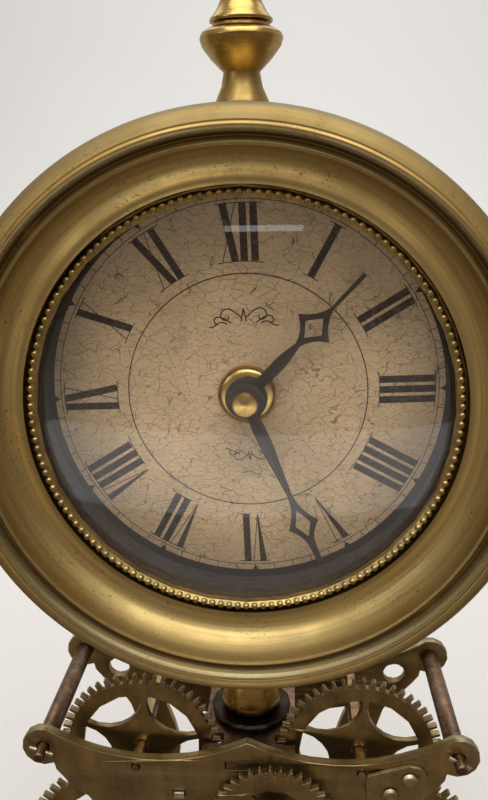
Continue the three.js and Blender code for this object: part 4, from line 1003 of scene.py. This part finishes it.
class CLOCK_OT_flourishes(bpy.types.Operator):
    """Draws the small scrolls above and below the dial's centre"""

    bl_idname = "clock.flourishes"
    bl_label = "Flourishes"

    def execute(self, context):
        s = sizes()
        strokes = []
        paths = []
        for side in (-1, 1):
            paths.append(scroll(side * 0.3, 0.0, side * 3.0, 1.9))
            paths.append(scroll(side * 2.4, -0.9, side * 2.6, 1.3, 1.2))
            wave = [0.7 * step for step in range(6)]
            paths.append([(side * (3.2 + k), -1.1 + 0.5 * math.sin(k * 1.5)) for k in wave])
        paths.append([(-0.5, -0.6), (0, 1.9), (0.5, -0.6)])
        for height, flip, scale in FLOURISHES:
            for path in paths:
                for a, b in zip(path, path[1:]):
                    places = []
                    for u, v in (a, b):
                        place = Matrix.Rotation(s.print_turn, 3, "Y") @ Vector(
                            (u * scale * MM, 0, (height + v * flip * scale) * MM)
                        )
                        places.append(DIAL_CENTRE + place + Vector((0, -PRINT_LIFT, 0)))
                    if (places[1] - places[0]).length > SHORTEST_STROKE:
                        strokes.append(bar(*places, FLOURISH_LINE * scale))
        inked(strokes, "flourishes")
        return {"FINISHED"}


class CLOCK_OT_head(bpy.types.Operator):
    """Finishes the drum, dial, spacer and rear cover"""

    bl_idname = "clock.head"
    bl_label = "Head"

    def execute(self, context):
        refined("case_drum", 0.2 * MM, whole=False)
        refined("rear_cover", 0.2 * MM)
        for node in ("dial_spacer", "retaining_ring", "dial"):
            refined(node)
        for count in (1, 2, 3):
            refined(f"cover_screw_{count}", 0.15 * MM)
        return {"FINISHED"}


class CLOCK_OT_movement(bpy.types.Operator):
    """Finishes the movement, its cell and its setting knob"""

    bl_idname = "clock.movement"
    bl_label = "Movement"

    def execute(self, context):
        for node, edge in (("movement_box", 0.3), ("battery", 0.3), ("set_knob", 0.15)):
            refined(node, edge * MM)
        return {"FINISHED"}


NUT_STEPS = 96
NUT_BORE = 4.3
RIBS = 54
RIB_WIDTH = 0.3
RIB_INSET = 0.22
RIB_SETBACK = 0.45


class CLOCK_OT_hands(bpy.types.Operator):
    """Finishes the hands, the shaft nut and the milled cap nut"""

    bl_idname = "clock.hands"
    bl_label = "Hands"

    def execute(self, context):
        for node in ("hour_hand", "minute_hand"):
            refined(node, 0.13 * MM)
        self.collar()
        self.cap()
        return {"FINISHED"}

    def collar(self):
        """The shaft nut with its rounded front and the bore that the hands' tubes pass."""
        radius, front, back = round_extent("shaft_nut")
        profile = (
            (NUT_BORE, back), (NUT_BORE, front + 0.3), (NUT_BORE + 0.3, front), (radius - 2.6, front),
            (radius - 1.5, front + 0.35), (radius - 0.5, front + 1.0), (radius, front + 1.8),
            (radius, back), (NUT_BORE, back),
        )
        piece = turned(profile, AXIS_START, BACK, NUT_STEPS)
        finished(piece, "shaft_nut_fine", "bright_brass", BODY_OF["shaft_nut"], "shaft_nut", angle=40)

    def cap(self):
        """The cap nut with a shallow turned cone and milled edge."""
        radius, front, back = round_extent("cap_nut")
        wall = radius - sizes().knurl / MM
        profile = (
            (0, front), (0.35, front + 0.04), (radius - 0.55, front + 0.75), (radius - 0.3, front + 1.0),
            (wall, front + 1.25), (wall, back - 0.2), (radius - 0.5, back), (0, back),
        )
        body = turned(profile, AXIS_START, BACK, NUT_STEPS)
        middle = (front + back) / 2 + RIB_SETBACK
        clear()
        bpy.ops.mesh.primitive_cube_add(
            size=1, location=((radius - RIB_INSET) * MM, middle * MM, AXIS_START.z)
        )
        rib = bpy.context.object
        rib.scale = (RIB_WIDTH * MM, (back - front - 1.5) * MM, RIB_WIDTH * MM)
        settle(rib)
        modify(rib, "BEVEL", width=0.09 * MM, segments=1, use_clamp_overlap=True)
        around(rib, RIBS, AXIS_START, BACK)
        piece = join([body, rib])
        finished(piece, "cap_nut_fine", "bright_brass", BODY_OF["cap_nut"], "cap_nut", angle=28)


class CLOCK_OT_finial(bpy.types.Operator):
    """Finishes the finial and the stem under the head"""

    bl_idname = "clock.finial"
    bl_label = "Finial and Stem"

    def execute(self, context):
        for node in ("finial_base", "finial_spire", "stem"):
            refined(node, 0.18 * MM, angle=34)
        for node in ("finial_bolt", "stem_washer", "stem_bolt", "stem_nut"):
            refined(node, angle=34)
        return {"FINISHED"}


def both(*names):
    """The left and right solid of each name."""
    return [f"{name}_{side}" for name in names for side in ("left", "right")]


class CLOCK_OT_plates(bpy.types.Operator):
    """Finishes the two pierced plates and what is fixed to them"""

    bl_idname = "clock.plates"
    bl_label = "Plates"

    def execute(self, context):
        edge = sizes().edge
        for node in ("front_plate", "rear_plate", "corner_plate"):
            refined(node, edge, whole=False)
        for node in ("corner_screw_1", "corner_screw_2", "stop_stud", "top_strap",
                     *both("foot_bar", "base_bolt")):
            refined(node, 0.14 * MM)
        return {"FINISHED"}


class CLOCK_OT_pillars(bpy.types.Operator):
    """Finishes the pillars and their cross pins"""

    bl_idname = "clock.pillars"
    bl_label = "Pillars"

    def execute(self, context):
        for height in ("upper", "lower"):
            for side in ("left", "right"):
                refined(f"pillar_{height}_{side}", 0.25 * MM)
                refined(f"pin_{height}_{side}", 0.1 * MM)
        return {"FINISHED"}


class CLOCK_OT_wheels(bpy.types.Operator):
    """Finishes the wheels, pinions and arbors"""

    bl_idname = "clock.wheels"
    bl_label = "Wheels"

    def execute(self, context):
        for node in ("centre_wheel", "front_wheel", *both("upper_wheel", "great_wheel")):
            refined(node, 0.16 * MM, whole=False)
        for node in ("centre_arbor", *both("upper_arbor", "pinion_arbor", "great_arbor")):
            refined(node)
        return {"FINISHED"}


class CLOCK_OT_base(bpy.types.Operator):
    """Finishes the moulded wooden base and its felt"""

    bl_idname = "clock.base"
    bl_label = "Base"

    def execute(self, context):
        refined("base", 0.6 * MM, 3)
        refined("base_felt", 0.2 * MM)
        return {"FINISHED"}


# Each lamp: its place, what it points at, its width, depth, power and tint.
LAMPS = (
    ("top_lamp", (0.05, -0.45, 1.30), (0, 0, 0.2), 1.4, 1.0, 13.0, (1.0, 0.97, 0.93)),
    ("glass_card", (0.0, -0.47, 0.01), (0, -0.47, 1), 0.9, 0.30, 0.55, (0.96, 0.98, 1.0)),
    ("table_card", (0.0, -0.30, 0.01), (0, -0.30, 1), 0.11, 0.34, 0.28, (1.0, 0.95, 0.88)),
    ("strip_lamp", (0.0, -1.2, 0.50), (0, 0, 0.25), 0.26, 0.02, 0.03, (1.0, 1.0, 1.0)),
    ("side_lamp", (-1.2, -0.9, 0.8), (0, 0, 0.2), 0.5, 0.5, 1.2, (1.0, 0.98, 0.95)),
    ("wall_lamp", (0.0, 1.4, 2.4), (0, 4, 1.0), 4.0, 1.0, 58.0, (0.96, 0.98, 1.0)),
    ("floor_lamp", (0.0, 1.3, 1.5), (0, 1.3, 0.0), 2.4, 1.4, 11.5, (0.94, 0.98, 1.0)),
)
# lamps that light one piece only
LAMP_FOR = {"glass_card": "glass_fine", "strip_lamp": "glass_fine", "table_card": "bezel_fine"}

# the room's glow: dim in front and below, brighter overhead and by the wall behind
ROOM_DIM = (0.21, 0.158, 0.11)
ROOM_BRIGHT = (0.50, 0.46, 0.41)
ROOM_SEEN = (0.70, 0.70, 0.69)

VIEW_AZIMUTH = 0.0636
VIEW_ELEVATION = 0.2855
VIEW_ROLL = -0.0165
VIEW_DISTANCE = 227.6 * MM
VIEW_AIM = Vector((-1.03 * MM, 0, -2.11 * MM))
LENS = 34.6


class CLOCK_OT_stage(bpy.types.Operator):
    """Sets the pale floor and wall, the soft lamps and the camera"""

    bl_idname = "clock.stage"
    bl_label = "Stage"

    def execute(self, context):
        self.backdrop()
        self.camera()
        self.lamps()
        return {"FINISHED"}

    def backdrop(self):
        clear()
        bpy.ops.mesh.primitive_plane_add(size=8, location=(0, 0, 0))
        floor = settle(bpy.context.object)
        bpy.ops.object.mode_set(mode="EDIT")
        mesh = bmesh.from_edit_mesh(floor.data)
        for item in (*mesh.verts, *mesh.edges, *mesh.faces):
            item.select = False
        for rim in mesh.edges:
            rim.select = all(vertex.co.y > 3 for vertex in rim.verts)
        mesh.select_flush_mode()
        bmesh.update_edit_mesh(floor.data)
        bpy.ops.mesh.extrude_region_move(TRANSFORM_OT_translate={"value": (0, 0, 5)})
        bpy.ops.object.mode_set(mode="OBJECT")
        modify(floor, "BEVEL", width=1.6, segments=16, limit_method="ANGLE")
        floor.name = "backdrop"
        take(floor)
        bpy.ops.object.shade_smooth()
        material, tree, shader = surface("Backdrop", Metallic=0.0, Roughness=0.9)
        c = colours().backdrop
        grey = noise(tree, place_on_piece(tree), 2.0, 2, 0.5)
        darker = [part * 0.97 for part in c]
        feed(tree, blend(tree, grey, c, darker), shader.inputs["Base Color"])
        floor.data.materials.append(material)
        floor.visible_glossy = False

    def camera(self):
        aim = DIAL_CENTRE + VIEW_AIM
        out = Vector((
            math.sin(VIEW_AZIMUTH) * math.cos(VIEW_ELEVATION),
            -math.cos(VIEW_AZIMUTH) * math.cos(VIEW_ELEVATION),
            math.sin(VIEW_ELEVATION),
        ))
        right = (-out).cross(UP).normalized()
        up = right.cross(-out).normalized()
        turn = Matrix.Rotation(-VIEW_ROLL, 3, -out)
        axes = Matrix((turn @ right, turn @ up, out)).transposed()
        data = bpy.data.cameras.new("camera")
        data.lens = LENS
        data.sensor_width = 36
        camera = bpy.data.objects.new("camera", data)
        camera.matrix_world = Matrix.Translation(aim + out * VIEW_DISTANCE) @ axes.to_4x4()
        bpy.context.scene.collection.objects.link(camera)
        bpy.context.scene.camera = camera

    def lamps(self):
        for name, place, aim, wide, deep, power, tint in LAMPS:
            data = bpy.data.lights.new(name, "AREA")
            data.shape = "RECTANGLE"
            data.size = wide
            data.size_y = deep
            data.energy = power
            data.color = tint
            lamp = bpy.data.objects.new(name, data)
            lamp.location = place
            lamp.rotation_euler = (Vector(aim) - Vector(place)).to_track_quat("-Z", "Y").to_euler()
            lamp.visible_camera = False
            if name in LAMP_FOR:
                lit = bpy.data.collections.new(name + " lights")
                lit.objects.link(bpy.data.objects[LAMP_FOR[name]])
                lamp.light_linking.receiver_collection = lit
            bpy.context.scene.collection.objects.link(lamp)
        world = bpy.data.worlds.new("Studio")
        world.use_nodes = True
        tree = world.node_tree
        place = tree.nodes.new("ShaderNodeTexCoord").outputs["Generated"]
        above = put(tree, "ShaderNodeSeparateXYZ", "Z", Vector=place).ramp(0.25, 0.70)
        behind = put(tree, "ShaderNodeSeparateXYZ", "Y", Vector=place).ramp(0.10, 0.60)
        seen = put(tree, "ShaderNodeLightPath", "Is Camera Ray")
        room = blend(tree, above.most(behind), ROOM_DIM, ROOM_BRIGHT)
        glow = tree.nodes["Background"]
        feed(tree, blend(tree, seen, room, ROOM_SEEN), glow.inputs["Color"])
        bpy.context.scene.world = world
        bpy.context.scene.view_settings.view_transform = "Standard"


PIECES = (
    CLOCK_OT_bezel, CLOCK_OT_beads, CLOCK_OT_glass, CLOCK_OT_numerals, CLOCK_OT_flourishes, CLOCK_OT_head,
    CLOCK_OT_movement, CLOCK_OT_hands, CLOCK_OT_finial, CLOCK_OT_plates, CLOCK_OT_pillars, CLOCK_OT_wheels,
    CLOCK_OT_base, CLOCK_OT_stage,
)


class CLOCK_PT_panel(bpy.types.Panel):
    """Lists the clock's sizes, colours and pieces"""

    bl_label = "Skeleton Clock"
    bl_space_type = "VIEW_3D"
    bl_region_type = "UI"
    bl_category = "Clock"

    def draw(self, context):
        scene = context.scene
        for values in (scene.clock_sizes, scene.clock_colours):
            box = self.layout.box()
            for key in values.__annotations__:
                box.prop(values, key)
        for piece in PIECES:
            self.layout.operator(piece.bl_idname)


CLASSES = (ClockSizes, ClockColours, *PIECES, CLOCK_PT_panel)


def register():
    for item in CLASSES:
        bpy.utils.register_class(item)
    bpy.types.Scene.clock_sizes = bpy.props.PointerProperty(type=ClockSizes)
    bpy.types.Scene.clock_colours = bpy.props.PointerProperty(type=ClockColours)


def unregister():
    del bpy.types.Scene.clock_colours
    del bpy.types.Scene.clock_sizes
    for item in reversed(CLASSES):
        bpy.utils.unregister_class(item)


def main():
    register()
    FINISH.update(finishes())
    for piece in PIECES:
        space, call = piece.bl_idname.split(".")
        getattr(getattr(bpy.ops, space), call)()


if __name__ == "__main__":
    main()
